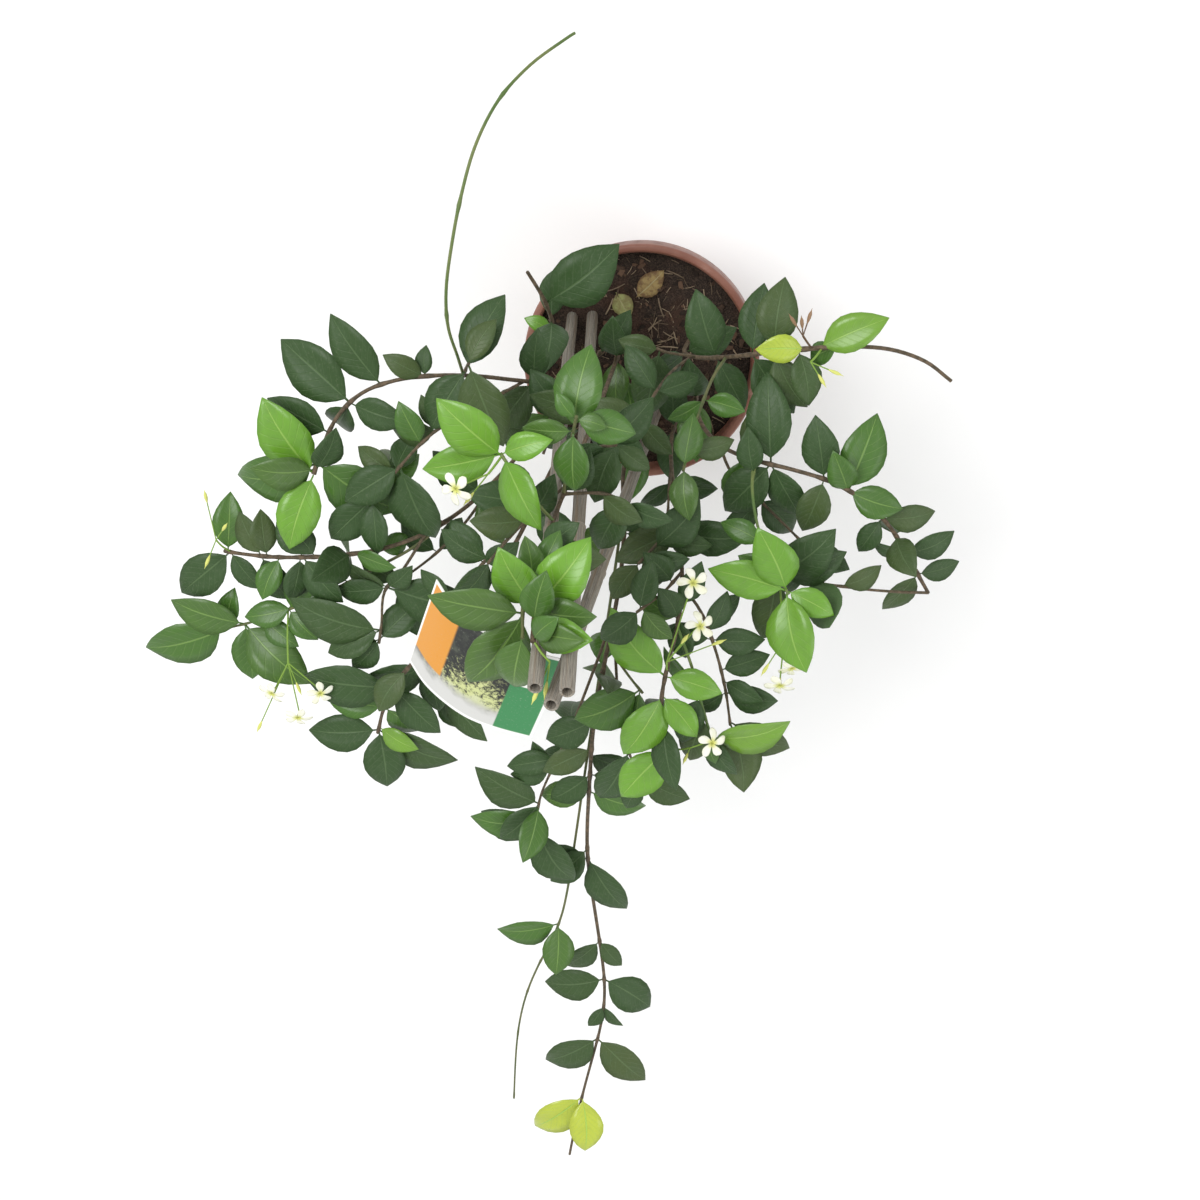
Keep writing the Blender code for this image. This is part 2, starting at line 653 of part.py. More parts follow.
TUBES = []
for item in LINES:
    if item["parent"] is not None:
        item["line"][0] = on_line(LINES[item["parent"][0]], item["line"][0])
    kept = thin_out(item["line"], 0.026, item["free"])
    line = [item["line"][number] for number in kept]
    last = len(item["line"]) - 1
    radii = [item["radius"] * (1 - (1 - item["thin"]) * number / last) for number in kept]
    item["line"] = line
    points, faces = tube_parts(line, radii, 5 if item["parent"] is None else 4)
    TUBES.append({"stem": item["stem"], "points": points, "faces": faces, "tree": tree_of(points, faces)})

# Canes, pot and soil are solids of their own; their surfaces are also what the leaves keep clear of


def lathe(name, profile, sides, material, low=None, high=None):
    """A closed turned solid from (radius, height) pairs, the first and the last on the axis."""
    if low is None:
        low = Vector((0.0, 0.0, 0.0))
        high = Vector((0.0, 0.0, 1.0))
    way = (high - low).normalized()
    turn_to = Vector((0.0, 0.0, 1.0)).rotation_difference(way)
    points = []
    faces = []
    rings = []
    for radius, height in profile:
        if radius == 0:
            rings.append([len(points)])
            points.append(low + turn_to @ Vector((0.0, 0.0, height)))
            continue
        ring = []
        for number in range(sides):
            turn = 2 * math.pi * number / sides
            ring.append(len(points))
            points.append(low + turn_to @ Vector((radius * math.cos(turn), radius * math.sin(turn), height)))
        rings.append(ring)
    for below, above in zip(rings, rings[1:]):
        for number in range(sides):
            following = (number + 1) % sides
            if len(below) == 1:
                faces.append((below[0], above[following], above[number]))
            elif len(above) == 1:
                faces.append((below[number], below[following], above[0]))
            else:
                faces.append((below[number], below[following], above[following]))
                faces.append((below[number], above[following], above[number]))
    return make_object(name, points, faces, material)


def tree_from(thing):
    faces = [tuple(face.vertices) for face in thing.data.polygons]
    return tree_of([vertex.co for vertex in thing.data.vertices], faces)


WELD = 0.000002


def cut(thing, cutters):
    """Take the cutters away from a solid."""
    for cutter in cutters:
        cutter.hide_render = True
        cutter.display_type = "WIRE"
        step = thing.modifiers.new(cutter.name, "BOOLEAN")
        step.operation = "DIFFERENCE"
        step.solver = "EXACT"
        step.object = cutter
    fixed = bpy.data.meshes.new_from_object(thing.evaluated_get(bpy.context.evaluated_depsgraph_get()))
    thing.modifiers.clear()
    shape = bmesh.new()
    shape.from_mesh(fixed)
    bmesh.ops.remove_doubles(shape, verts=shape.verts, dist=WELD)
    shape.to_mesh(fixed)
    shape.free()
    thing.data = fixed
    for cutter in cutters:
        bpy.data.objects.remove(cutter, do_unlink=True)


terracotta = paint("terracotta_plastic", (0.250, 0.110, 0.075), 0.55)
wall_slope = (RIM_RADIUS - LIP - FOOT_RADIUS) / (POT_HEIGHT - BAND_HEIGHT)


def wall_radius(height):
    """The outer radius of the pot's wall under its band."""
    return FOOT_RADIUS + wall_slope * height


shoulder = POT_HEIGHT - BAND_HEIGHT
POT_PROFILE = (
    (0.0, 0.0), (FOOT_RADIUS - 0.002, 0.0), (wall_radius(0.002), 0.002), (wall_radius(shoulder), shoulder),
    (RIM_RADIUS - 0.0012, shoulder), (RIM_RADIUS, shoulder + 0.0015), (RIM_RADIUS, POT_HEIGHT - 0.002),
    (RIM_RADIUS - 0.0015, POT_HEIGHT), (RIM_RADIUS - LIP - 0.001, POT_HEIGHT),
    (RIM_RADIUS - LIP - WALL, POT_HEIGHT - 0.003),
    (wall_radius(shoulder) - WALL, shoulder), (wall_radius(FLOOR_THICK) - WALL, FLOOR_THICK),
    (0.0, FLOOR_THICK),
)
pot = lathe("pot", POT_PROFILE, 32, terracotta)
drains = []
for number in range(DRAINS):
    turn = 2 * math.pi * (number + 0.5) / DRAINS
    spot = Vector((DRAIN_RING * math.cos(turn), DRAIN_RING * math.sin(turn), -0.01))
    drains.append(lathe("drain_%d" % number, ((0.0, 0.0), (DRAIN_HOLE, 0.0), (DRAIN_HOLE, 0.03),
    (0.0, 0.03)), 10, None,
                        spot, spot + Vector((0.0, 0.0, 1.0))))
cut(pot, drains)

earth = paint("potting_soil", (0.045, 0.028, 0.020), 0.95)
ripple = random.Random(SEED + 1)
soil_points = []
soil_faces = []
SOIL_SIDES = 24
SOIL_RINGS = (0.026, 0.052, 0.078)
SOIL_CLEAR = GAP + 0.0004
soil_edge = wall_radius(min(SOIL_HEIGHT, shoulder)) - WALL - SOIL_CLEAR
soil_foot = FLOOR_THICK + GAP
soil_points.append(Vector((0.0, 0.0, SOIL_HEIGHT)))
for radius in SOIL_RINGS + (soil_edge,):
    for number in range(SOIL_SIDES):
        turn = 2 * math.pi * number / SOIL_SIDES
        bump = ripple.uniform(-SOIL_RELIEF, SOIL_RELIEF) if radius != soil_edge else -0.002
        soil_points.append(Vector((radius * math.cos(turn), radius * math.sin(turn), SOIL_HEIGHT + bump)))
soil_floor = len(soil_points)
for number in range(SOIL_SIDES):
    turn = 2 * math.pi * number / SOIL_SIDES
    radius = wall_radius(soil_foot) - WALL - SOIL_CLEAR
    soil_points.append(Vector((radius * math.cos(turn), radius * math.sin(turn), soil_foot)))
soil_points.append(Vector((0.0, 0.0, soil_foot)))
for number in range(SOIL_SIDES):
    following = (number + 1) % SOIL_SIDES
    soil_faces.append((0, 1 + number, 1 + following))
    for ring in range(len(SOIL_RINGS) + 1):
        inner = 1 + ring * SOIL_SIDES
        outer = inner + SOIL_SIDES
        soil_faces.append((inner + number, outer + number, outer + following))
        soil_faces.append((inner + number, outer + following, inner + following))
    soil_faces.append((soil_floor + number, soil_floor + SOIL_SIDES, soil_floor + following))
soil = make_object("soil", soil_points, soil_faces, earth)
top_tree = tree_from(soil)

straw = paint("weathered_cane", (0.300, 0.260, 0.210), 0.75)
canes = []
for name, (high, low) in CANE_ENDS.items():
    length = (high - low).length
    profile = [(0.0, 0.0), (CANE_RADIUS, 0.0)]
    for share in CANE_RINGS:
        middle = length * share
        profile += [(CANE_RADIUS, middle - 0.003), (CANE_RADIUS + 0.0008, middle),
        (CANE_RADIUS, middle + 0.003)]
    profile += [(CANE_RADIUS, length - 0.0008), (CANE_RADIUS - 0.0005, length), (CANE_BORE, length),
                (CANE_BORE, length - CANE_BORE_DEPTH), (0.0, length - CANE_BORE_DEPTH - 0.002)]
    canes.append(lathe(name, profile, 10, straw, low, high))

holes = []
for name, (high, low) in CANE_ENDS.items():
    way = (high - low).normalized()
    foot = low - way * GAP
    holes.append(lathe("hole_" + name, ((0.0, 0.0), (CANE_HOLE, 0.0), (CANE_HOLE, 0.09),
    (0.0, 0.09)), 10, None, foot, high))
for stem, data in STEMS.items():
    foot = Vector((*data["foot"], SOIL_HEIGHT - STEM_DEPTH - GAP))
    holes.append(lathe("hole_" + stem, ((0.0, 0.0), (STEM_HOLE, 0.0), (STEM_HOLE, 0.05),
    (0.0, 0.05)), 8, None,
                       foot, foot + Vector((0.0, 0.0, 1.0))))
cut(soil, holes)

card = paint("picture_label", (0.070, 0.260, 0.100), 0.30)
edge = smooth_route([seen(place) for place in LABEL_EDGE], 0.017)


def label_parts(rise):
    """The bent card: points and faces."""
    points = []
    for step in (0.0, 1.0):
        for number, place in enumerate(edge):
            ahead = edge[min(number + 1, len(edge) - 1)] - edge[max(number - 1, 0)]
            face = ahead.cross(rise).normalized()
            for level in (-0.5, 0.5):
                points.append(place + rise * step + face * (LABEL_THICK * level))
    faces = []
    size = 2 * len(edge)
    for number in range(len(edge) - 1):
        a = 2 * number
        faces += [(a, a + 2, a + 2 + size), (a, a + 2 + size, a + size)]
        faces += [(a + 1, a + 3 + size, a + 3), (a + 1, a + 1 + size, a + 3 + size)]
        faces += [(a, a + 1, a + 3), (a, a + 3, a + 2)]
        faces += [(a + size, a + 3 + size, a + 1 + size), (a + size, a + 2 + size, a + 3 + size)]
    for a in (0, 2 * (len(edge) - 1)):
        faces += [(a, a + size, a + 1 + size), (a, a + 1 + size, a + 1)]
    return points, faces


# The card leans on a cane: its short side runs to the cane and stops just short of it
high, low = CANE_ENDS["cane_c"]
reach = low.lerp(high, (LEAN_HEIGHT - low.z) / (high.z - low.z)) - edge[-1]
fat_cane = tree_of(*tube_parts([low, high], [CANE_RADIUS + 0.0008] * 2, 24))
growth = 0.80
while growth < 1.1 and not fat_cane.overlap(tree_of(*label_parts(reach * (growth + 0.002)))):
    growth += 0.002
LABEL_RISE = reach * growth
label = make_object("picture_label", *label_parts(LABEL_RISE), card)

SOLIDS = [tree_from(thing) for thing in (pot, soil, label, *canes)]

# Leaves: first those the photograph shows, then seeded ones along every stem
LEAVES = []


def make_leaf(stem, root, tip, tone, spin, shape=LEAF_SHAPE):
    way = tip - root
    root = root + way.normalized() * 0.0007
    up = Vector((0.0, 0.0, 1.0)) + Vector((chance.uniform(-spin, spin), chance.uniform(-spin, spin), 0.0))
    if abs(way.normalized().dot(up.normalized())) > 0.93:
        up = Vector((0.0, 1.0, 0.3))
    return {"stem": stem, "root": root, "tip": tip, "tone": tone, "up": up.normalized(),
            "width": way.length * shape * chance.uniform(0.92, 1.10), "thick": LEAF_THICK,
            "bow": chance.uniform(0.03, 0.09), "fold": chance.uniform(0.10, 0.28)}


def turned(leaf, yaw, pitch, roll, scale):
    """A copy of a leaf, turned about its own root."""
    way = leaf["tip"] - leaf["root"]
    side = way.cross(leaf["up"]).normalized()
    spin = Matrix.Rotation(math.radians(yaw), 3, "Z") @ Matrix.Rotation(math.radians(pitch), 3, side)
    new_way = spin @ way
    new_up = Matrix.Rotation(math.radians(roll), 3, new_way.normalized()) @ (spin @ leaf["up"])
    fresh = dict(leaf)
    fresh["tip"] = leaf["root"] + new_way * scale
    fresh["width"] = leaf["width"] * scale
    fresh["up"] = new_up
    return fresh


def clear_of_all(leaf):
    """Whether a leaf keeps its distance from every solid, stem and leaf placed so far."""
    middle = (leaf["root"] + leaf["tip"]) / 2
    reach = (leaf["tip"] - leaf["root"]).length / 2 + 0.004
    if leaf["tip"].z < 0.004:
        return False
    whole = tree_of(*blade_parts(leaf, LEAF_CLEAR))
    bare = tree_of(*blade_parts(leaf, LEAF_CLEAR_NEAR, True))
    for solid in SOLIDS:
        if solid.overlap(whole):
            return False
    for tube in TUBES:
        probe = bare if tube["stem"] == leaf["stem"] else whole
        if tube["tree"].overlap(probe):
            return False
    for other in LEAVES:
        if (other["middle"] - middle).length > reach + other["reach"]:
            continue
        if other["stem"] == leaf["stem"]:
            if (other["root"] - leaf["root"]).length < 0.008:
                if other["bare"].overlap(bare):
                    return False
            elif other["tree"].overlap(whole):
                return False
        elif other["tree"].overlap(whole):
            return False
    leaf["middle"] = middle
    leaf["reach"] = reach
    leaf["tree"] = tree_of(*blade_parts(leaf))
    leaf["bare"] = tree_of(*blade_parts(leaf, 0.0, True))
    return True


TRIES = [(0, 0, 0)]
for lean in (8, -8, 16, -16, 25, -25, 35, -35):
    TRIES.append((0, lean, 0))
    TRIES.append((0, lean, 22))
    TRIES.append((0, lean, -22))
for swing in (7, -7, 14, -14):
    for lean in (0, 10, -10, 22, -22, 34):
        TRIES.append((swing, lean, 0))


def place_leaf(leaf, sizes, swing=1.0):
    """Turn a leaf until it is clear, then keep it; a leaf that never is clear is left out."""
    for scale in sizes:
        for yaw, pitch, roll in TRIES:
            fresh = turned(leaf, yaw * swing, pitch, roll, scale)
            if clear_of_all(fresh):
                LEAVES.append(fresh)
                return True
    return False


LIFT = {"old": (-0.28, 0.10), "mid": (-0.16, 0.16), "young": (-0.06, 0.22), "lime": (-0.20, 0.05)}
order = sorted(range(len(SHOOT_JOINTS)), key=lambda number: -SHOOT_JOINTS[number][3].z)
for number in order:
    stem, line_index, tone, spot, tips = SHOOT_JOINTS[number]
    root = on_line(LINES[line_index], spot)
    for across, down in tips:
        flat = seen((across, down, root.z))
        low, high = LIFT[tone]
        rise = chance.uniform(low, high) * (flat - root).length
        tip = seen((across, down, root.z + rise))
        length = (tip - root).length
        if length > LEAF_LONGEST:
            tip = root + (tip - root) * (LEAF_LONGEST / length)
        place_leaf(make_leaf(stem, root, tip, tone, 0.30), (1.0, 0.88, 0.76))

# Flower bunches: a stalk that forks to its heads, seated on the stem it grows from


def flower_parts(centre, facing, span):
    """A pinwheel of five blades as one plate: points and faces."""
    facing = facing.normalized()
    side = facing.orthogonal().normalized()
    other = facing.cross(side)
    rim = []
    for petal in range(5):
        for turn, reach, lift in ((-0.30, 0.15, 0.0), (-0.14, 0.46, 0.001), (0.26, 0.52, -0.001)):
            angle = 2 * math.pi * petal / 5 + turn * 1.35
            out = side * math.cos(angle) + other * math.sin(angle)
            rim.append(centre + out * (reach * span) + facing * lift)
    points = [centre] + rim + [centre - facing * 0.0009] + [point - facing * 0.0009 for point in rim]
    count = len(rim)
    faces = []
    for number in range(count):
        following = (number + 1) % count
        faces.append((0, 1 + number, 1 + following))
        faces.append((count + 1, count + 2 + following, count + 2 + number))
        faces.append((1 + number, count + 2 + number, count + 2 + following))
        faces.append((1 + number, count + 2 + following, 1 + following))
    return points, faces


def bunch_parts(foot, knot, heads):
    """The stalk of a bunch, and its open flowers and closed buds."""
    middle = foot.lerp(knot, 0.5) + Vector((0.0, 0.0, 0.002))
    beyond = knot + (knot - middle).normalized() * 0.001
    parts = [tube_parts([foot, middle, knot, beyond], [0.0009, 0.0009, 0.0010, 0.0010], 4)]
    for centre, span in heads:
        way = (centre - knot).normalized()
        if span:
            facing = (way + Vector((0.0, 0.1, 1.2))).normalized()
            throat = [knot, centre - facing * 0.0065, centre - facing * 0.0004]
            parts.append(tube_parts(throat, [0.0008, 0.0011, 0.0016], 5))
            parts.append(flower_parts(centre, facing, span))
        else:
            ends = [centre + way * (BUD_LENGTH * share) for share in (-0.5, 0.2, 0.8)]
            parts.append(tube_parts([knot] + ends,
                                    [0.0007, 0.0009, 0.0017, 0.0006], 4))
    return parts


def bunch_is_clear(parts):
    for points, faces in parts:
        probe = tree_of(points, faces)
        for solid in SOLIDS:
            if solid.overlap(probe):
                return False
        for tube in TUBES:
            if tube["tree"].overlap(probe):
                return False
        for leaf in LEAVES:
            if leaf["tree"].overlap(probe):
                return False
    return True


HEADS = []
for name, (start, fork, heads) in BUNCHES.items():
    want = seen(start[1:])
    spots = []
    for item, tube in zip(LINES, TUBES):
        if item["stem"] != start[0]:
            continue
        for a, b in zip(item["line"], item["line"][1:]):
            for share in (0.15, 0.4, 0.65, 0.9):
                point = a.lerp(b, share)
                spots.append(((point - want).length, len(spots), point, tube["tree"]))
    spots.sort(key=lambda spot: spot[:2])
    found = None
    for rise in (0.0, 0.006, 0.012, 0.018, 0.024, 0.030):
        for _, _, point, tree in spots[:14]:
            for swing in ((0, 0), (1, 0), (-1, 0), (0, 1), (0, -1)):
                knot = seen(fork) + Vector((swing[0] * 0.007, swing[1] * 0.007, rise))
                away = (knot - point).normalized()
                hit = tree.ray_cast(knot, -away)[0]
                if hit is None:
                    continue
                foot = hit + away * 0.0005
                lift = Vector((0.0, 0.0, rise))
                shape = (foot, knot, [(seen(head[:3]) + lift, head[3] / 1000) for head in heads])
                parts = bunch_parts(*shape)
                if bunch_is_clear(parts):
                    found = (name, parts)
                    break
            if found:
                break
        if found:
            break
    if found:
        HEADS.append(found)
        for points, faces in found[1]:
            SOLIDS.append(tree_of(points, faces))

for item in LINES:
    if item["radius"] == WHIP_RADIUS:
        continue
    quarter = 0
    since = 0.0
    for a, b in zip(item["line"], item["line"][1:]):
        pieces = max(1, round((b - a).length / 0.009))
        for piece in range(pieces):
            spot = a.lerp(b, (piece + 0.5) / pieces)
            since += (b - a).length / pieces
            if spot.z < LOWEST_LEAF or since < FILL_SPACING or (spot.xy - THICKET).length > THICKET_REACH:
                continue
            if any(leaf["stem"] == item["stem"] and (leaf["root"] - spot).length < LEAF_APART for leaf in LEAVES):
                continue
            since = 0.0
            quarter += 1
            way = (b - a).normalized()
            side = way.cross(Vector((0.0, 0.0, 1.0)))
            if side.length < 0.2:
                side = Vector((1.0, 0.0, 0.0))
            side.normalize()
            if quarter % 2:
                side = way.cross(side).normalized()
            for sign in (1, -1):
                reach = LEAF_LENGTH * chance.uniform(0.72, 1.05)
                rise = Vector((0.0, 0.0, chance.uniform(-0.35, 0.15)))
                out = (side * sign + way * 0.35 + rise).normalized()
                tone = "old" if chance.random() < 0.8 else "mid"
                fresh = make_leaf(item["stem"], spot, spot + out * reach, tone, 0.35)
                place_leaf(fresh, (1.0, 0.85, 0.7), 2.0)
# More leaves, each from the nearest place on a high stem
joints = []
for item in LINES:
    if item["radius"] != WHIP_RADIUS:
        for a, b in zip(item["line"], item["line"][1:]):
            for share in (0.2, 0.5, 0.8):
                spot = a.lerp(b, share)
                joints.append((item["stem"], spot, pixel_of(spot)))
for across, down in MORE_TIPS:
    tip_pixel = Vector((across, down))
    near = []
    for number, (stem, spot, pixel) in enumerate(joints):
        away = (pixel - tip_pixel).length
        if spot.z > LOWEST_LEAF and MORE_REACH[0] < away < MORE_REACH[1]:
            near.append((abs(away - 48) - 110 * spot.z, number))
    for _, number in sorted(near)[:24]:
        stem, spot, _ = joints[number]
        tip = seen((across, down, spot.z + chance.uniform(-0.012, 0.010)))
        if place_leaf(make_leaf(stem, spot, tip, "old" if chance.random() < 0.75 else "mid", 0.30),
        (1.0, 0.88)):
            break


def fuse(name, parts, material):
    """One closed solid from parts that run into each other."""
    base = make_object(name, *parts[0], material)
    if len(parts) > 1:
        group = bpy.data.collections.new(name + "_parts")
        bpy.context.scene.collection.children.link(group)
        extra = []
        for number, (points, faces) in enumerate(parts[1:]):
            piece = make_object("%s_%d" % (name, number), points, faces)
            bpy.context.scene.collection.objects.unlink(piece)
            group.objects.link(piece)
            extra.append(piece)
        for solver, weld in (("EXACT", WELD), ("MANIFOLD", WELD), ("MANIFOLD", 5 * WELD),
        ("EXACT", 15 * WELD)):
            step = base.modifiers.new("join", "BOOLEAN")
            step.operation = "UNION"
            step.operand_type = "COLLECTION"
            step.collection = group
            step.solver = solver
            fixed = bpy.data.meshes.new_from_object(base.evaluated_get(bpy.context.evaluated_depsgraph_get()))
            base.modifiers.clear()
            if tidy(fixed, weld):
                break
        base.data = fixed
        for piece in extra:
            bpy.data.objects.remove(piece, do_unlink=True)
        bpy.data.collections.remove(group)
    base.data.materials.clear()
    base.data.materials.append(material)
    return base


def tidy(mesh, weld):
    """Weld, triangulate and keep the largest shell; whether what is left is one closed shell."""
    shape = bmesh.new()
    shape.from_mesh(mesh)
    bmesh.ops.remove_doubles(shape, verts=shape.verts, dist=weld)
    bmesh.ops.dissolve_degenerate(shape, edges=shape.edges, dist=weld)
    bmesh.ops.triangulate(shape, faces=shape.faces)
    left = set(shape.verts)
    shells = []
    while left:
        stack = [left.pop()]
        shell = set(stack)
        while stack:
            vertex = stack.pop()
            for line in vertex.link_edges:
                for near in line.verts:
                    if near not in shell:
                        shell.add(near)
                        left.discard(near)
                        stack.append(near)
        shells.append(shell)
    shells.sort(key=len, reverse=True)
    for shell in shells[1:]:
        bmesh.ops.delete(shape, geom=list(shell), context="VERTS")
    open_edges = sum(1 for line in shape.edges if len(line.link_faces) != 2)
    shape.to_mesh(mesh)
    shape.free()
    return open_edges == 0


white = paint("flower_white", (0.800, 0.800, 0.700), 0.45)
dry = paint("dried_flower", (0.180, 0.100, 0.050), 0.85)
for name, parts in HEADS:
    fuse(name, parts, dry if name.startswith("dry") else white)

leaf_paint = paint("leaf_green", TONES["old"], 0.50)
for stem in STEMS:
    parts = [(tube["points"], tube["faces"]) for tube in TUBES if tube["stem"] == stem]
    parts += [blade_parts(leaf) for leaf in LEAVES if leaf["stem"] == stem]
    fuse(stem, parts, leaf_paint)

fallen_paint = paint("fallen_leaf", (0.330, 0.300, 0.110), 0.70)
for name, (base, tip, width) in FALLEN.items():
    root = seen((*base, SOIL_HEIGHT))
    end = seen((*tip, SOIL_HEIGHT))
    leaf = {"root": root, "tip": end, "up": Vector((0.0, 0.0, 1.0)), "width": width, "thick": LEAF_THICK,
            "bow": 0.02, "fold": -0.12}
    points, faces = blade_parts(leaf)
    hits = []
    for point in points:
        above = Vector((point.x, point.y, 1.0))
        hits.append((point.z, top_tree.ray_cast(above, Vector((0.0, 0.0, -1.0)))[0]))
    drop = min(height - hit.z for height, hit in hits if hit is not None)
    lift = 0.0003
    sunk = [point - Vector((0.0, 0.0, drop)) for point in points]
    while tree_from(soil).overlap(tree_of([point + Vector((0.0, 0.0, lift - 0.0001)) for point in sunk], faces)):
        lift += 0.0001
    make_object(name, [point - Vector((0.0, 0.0, drop - lift)) for point in points], faces, fallen_paint)
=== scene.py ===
# %% [markdown]
# A star jasmine in its round nursery pot. This script dresses a plain solid model of the plant. Finer
# pieces take the place of each solid, just where it stands: leaves with veins and a gloss, twigs with
# swollen joints, white flowers, a moulded pot, crumbly soil, weathered canes and a printed card. Everything
# is in metres. The origin is the middle of the pot's foot, and +Z is up.

import json
import math
import random

import bpy
from mathutils import Matrix, Vector, noise
from mathutils.bvhtree import BVHTree
from mathutils.geometry import intersect_point_line

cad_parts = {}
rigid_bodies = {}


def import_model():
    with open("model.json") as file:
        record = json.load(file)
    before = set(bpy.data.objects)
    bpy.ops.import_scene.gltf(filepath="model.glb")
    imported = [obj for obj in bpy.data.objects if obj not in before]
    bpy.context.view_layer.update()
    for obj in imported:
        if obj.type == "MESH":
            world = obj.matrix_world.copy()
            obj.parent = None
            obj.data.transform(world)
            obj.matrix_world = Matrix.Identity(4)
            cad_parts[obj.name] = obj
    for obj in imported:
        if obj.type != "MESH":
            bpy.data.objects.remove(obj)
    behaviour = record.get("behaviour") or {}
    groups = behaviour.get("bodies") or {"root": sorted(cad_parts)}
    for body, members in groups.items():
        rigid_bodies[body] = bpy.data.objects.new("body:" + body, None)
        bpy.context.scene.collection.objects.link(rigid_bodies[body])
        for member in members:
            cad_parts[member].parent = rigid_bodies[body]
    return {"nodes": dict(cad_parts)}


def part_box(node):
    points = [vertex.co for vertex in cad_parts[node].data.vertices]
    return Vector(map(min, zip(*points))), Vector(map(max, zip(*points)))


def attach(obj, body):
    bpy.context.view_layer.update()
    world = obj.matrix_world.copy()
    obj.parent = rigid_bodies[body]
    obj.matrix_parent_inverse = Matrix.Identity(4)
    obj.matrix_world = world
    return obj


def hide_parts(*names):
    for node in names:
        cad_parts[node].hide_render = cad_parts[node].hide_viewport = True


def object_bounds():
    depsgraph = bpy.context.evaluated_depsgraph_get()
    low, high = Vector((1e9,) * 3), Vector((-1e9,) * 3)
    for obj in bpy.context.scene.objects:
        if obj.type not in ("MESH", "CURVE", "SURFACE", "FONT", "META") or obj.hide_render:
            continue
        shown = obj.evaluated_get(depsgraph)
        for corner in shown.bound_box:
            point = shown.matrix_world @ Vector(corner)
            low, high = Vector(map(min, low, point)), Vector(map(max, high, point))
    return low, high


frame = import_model()
cad_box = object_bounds()
print("solid model box", [[round(value, 3) for value in corner] for corner in cad_box])

# %% [markdown]
# Everything that is placed one by one goes where the photograph shows it. A place is written as its pixel and
# its real height, and one function turns that into metres, because the camera's own place is known. It
# stands above the far side of the pot and looks down along the plant.

# %% Where the camera stands, and what a pixel means
EYE = Vector((0.0701, 0.3063, 1.4946))
ACROSS = Vector((0.9968, -0.0300, -0.0739))
UPWARD = Vector((0.0, 0.9268, -0.3757))
BACKWARD = Vector((0.0797, 0.3745, 0.9238))
PICTURE_MIDDLE = 600
PIXELS_PER_SLOPE = 1500


def seen(place):
    """The point in metres that the photograph shows at this pixel, at this height above the floor."""
    across, down, height = place
    slope_x = (across - PICTURE_MIDDLE) / PIXELS_PER_SLOPE
    slope_y = (PICTURE_MIDDLE - down) / PIXELS_PER_SLOPE
    ray = ACROSS * slope_x + UPWARD * slope_y - BACKWARD
    return EYE + ray * ((height - EYE.z) / ray.z)


print("pot's middle seen at height 0.16:", [round(value, 3) for value in seen((641, 368, 0.16))])

# %% [markdown]
# Finishes are built from nodes. Wiring them one by one is long to read, so a small class wraps a socket and
# lets a sum or a product of two sockets add the Math node by itself. A second class holds one finish and
# adds any other node. A finish then reads like the sentence that describes it.

# %% A short way to write finishes


class Wire:
    """One socket of a finish. Arithmetic on it adds the Math node that does the sum."""

    def __init__(self, finish, socket):
        self.finish = finish
        self.socket = socket

    def sum(self, operation, first, second=0.0):
        return self.finish.node("Math", {"operation": operation}, {0: first, 1: second})

    def __add__(self, other):
        return self.sum("ADD", self, other)

    __radd__ = __add__

    def __sub__(self, other):
        return self.sum("SUBTRACT", self, other)

    def __rsub__(self, other):
        return self.sum("SUBTRACT", other, self)

    def __mul__(self, other):
        return self.sum("MULTIPLY", self, other)

    __rmul__ = __mul__

    def __abs__(self):
        return self.sum("ABSOLUTE", self)

    def sine(self):
        return self.sum("SINE", self)

    def most(self, other):
        return self.sum("MAXIMUM", self, other)

    def least(self, other):
        return self.sum("MINIMUM", self, other)


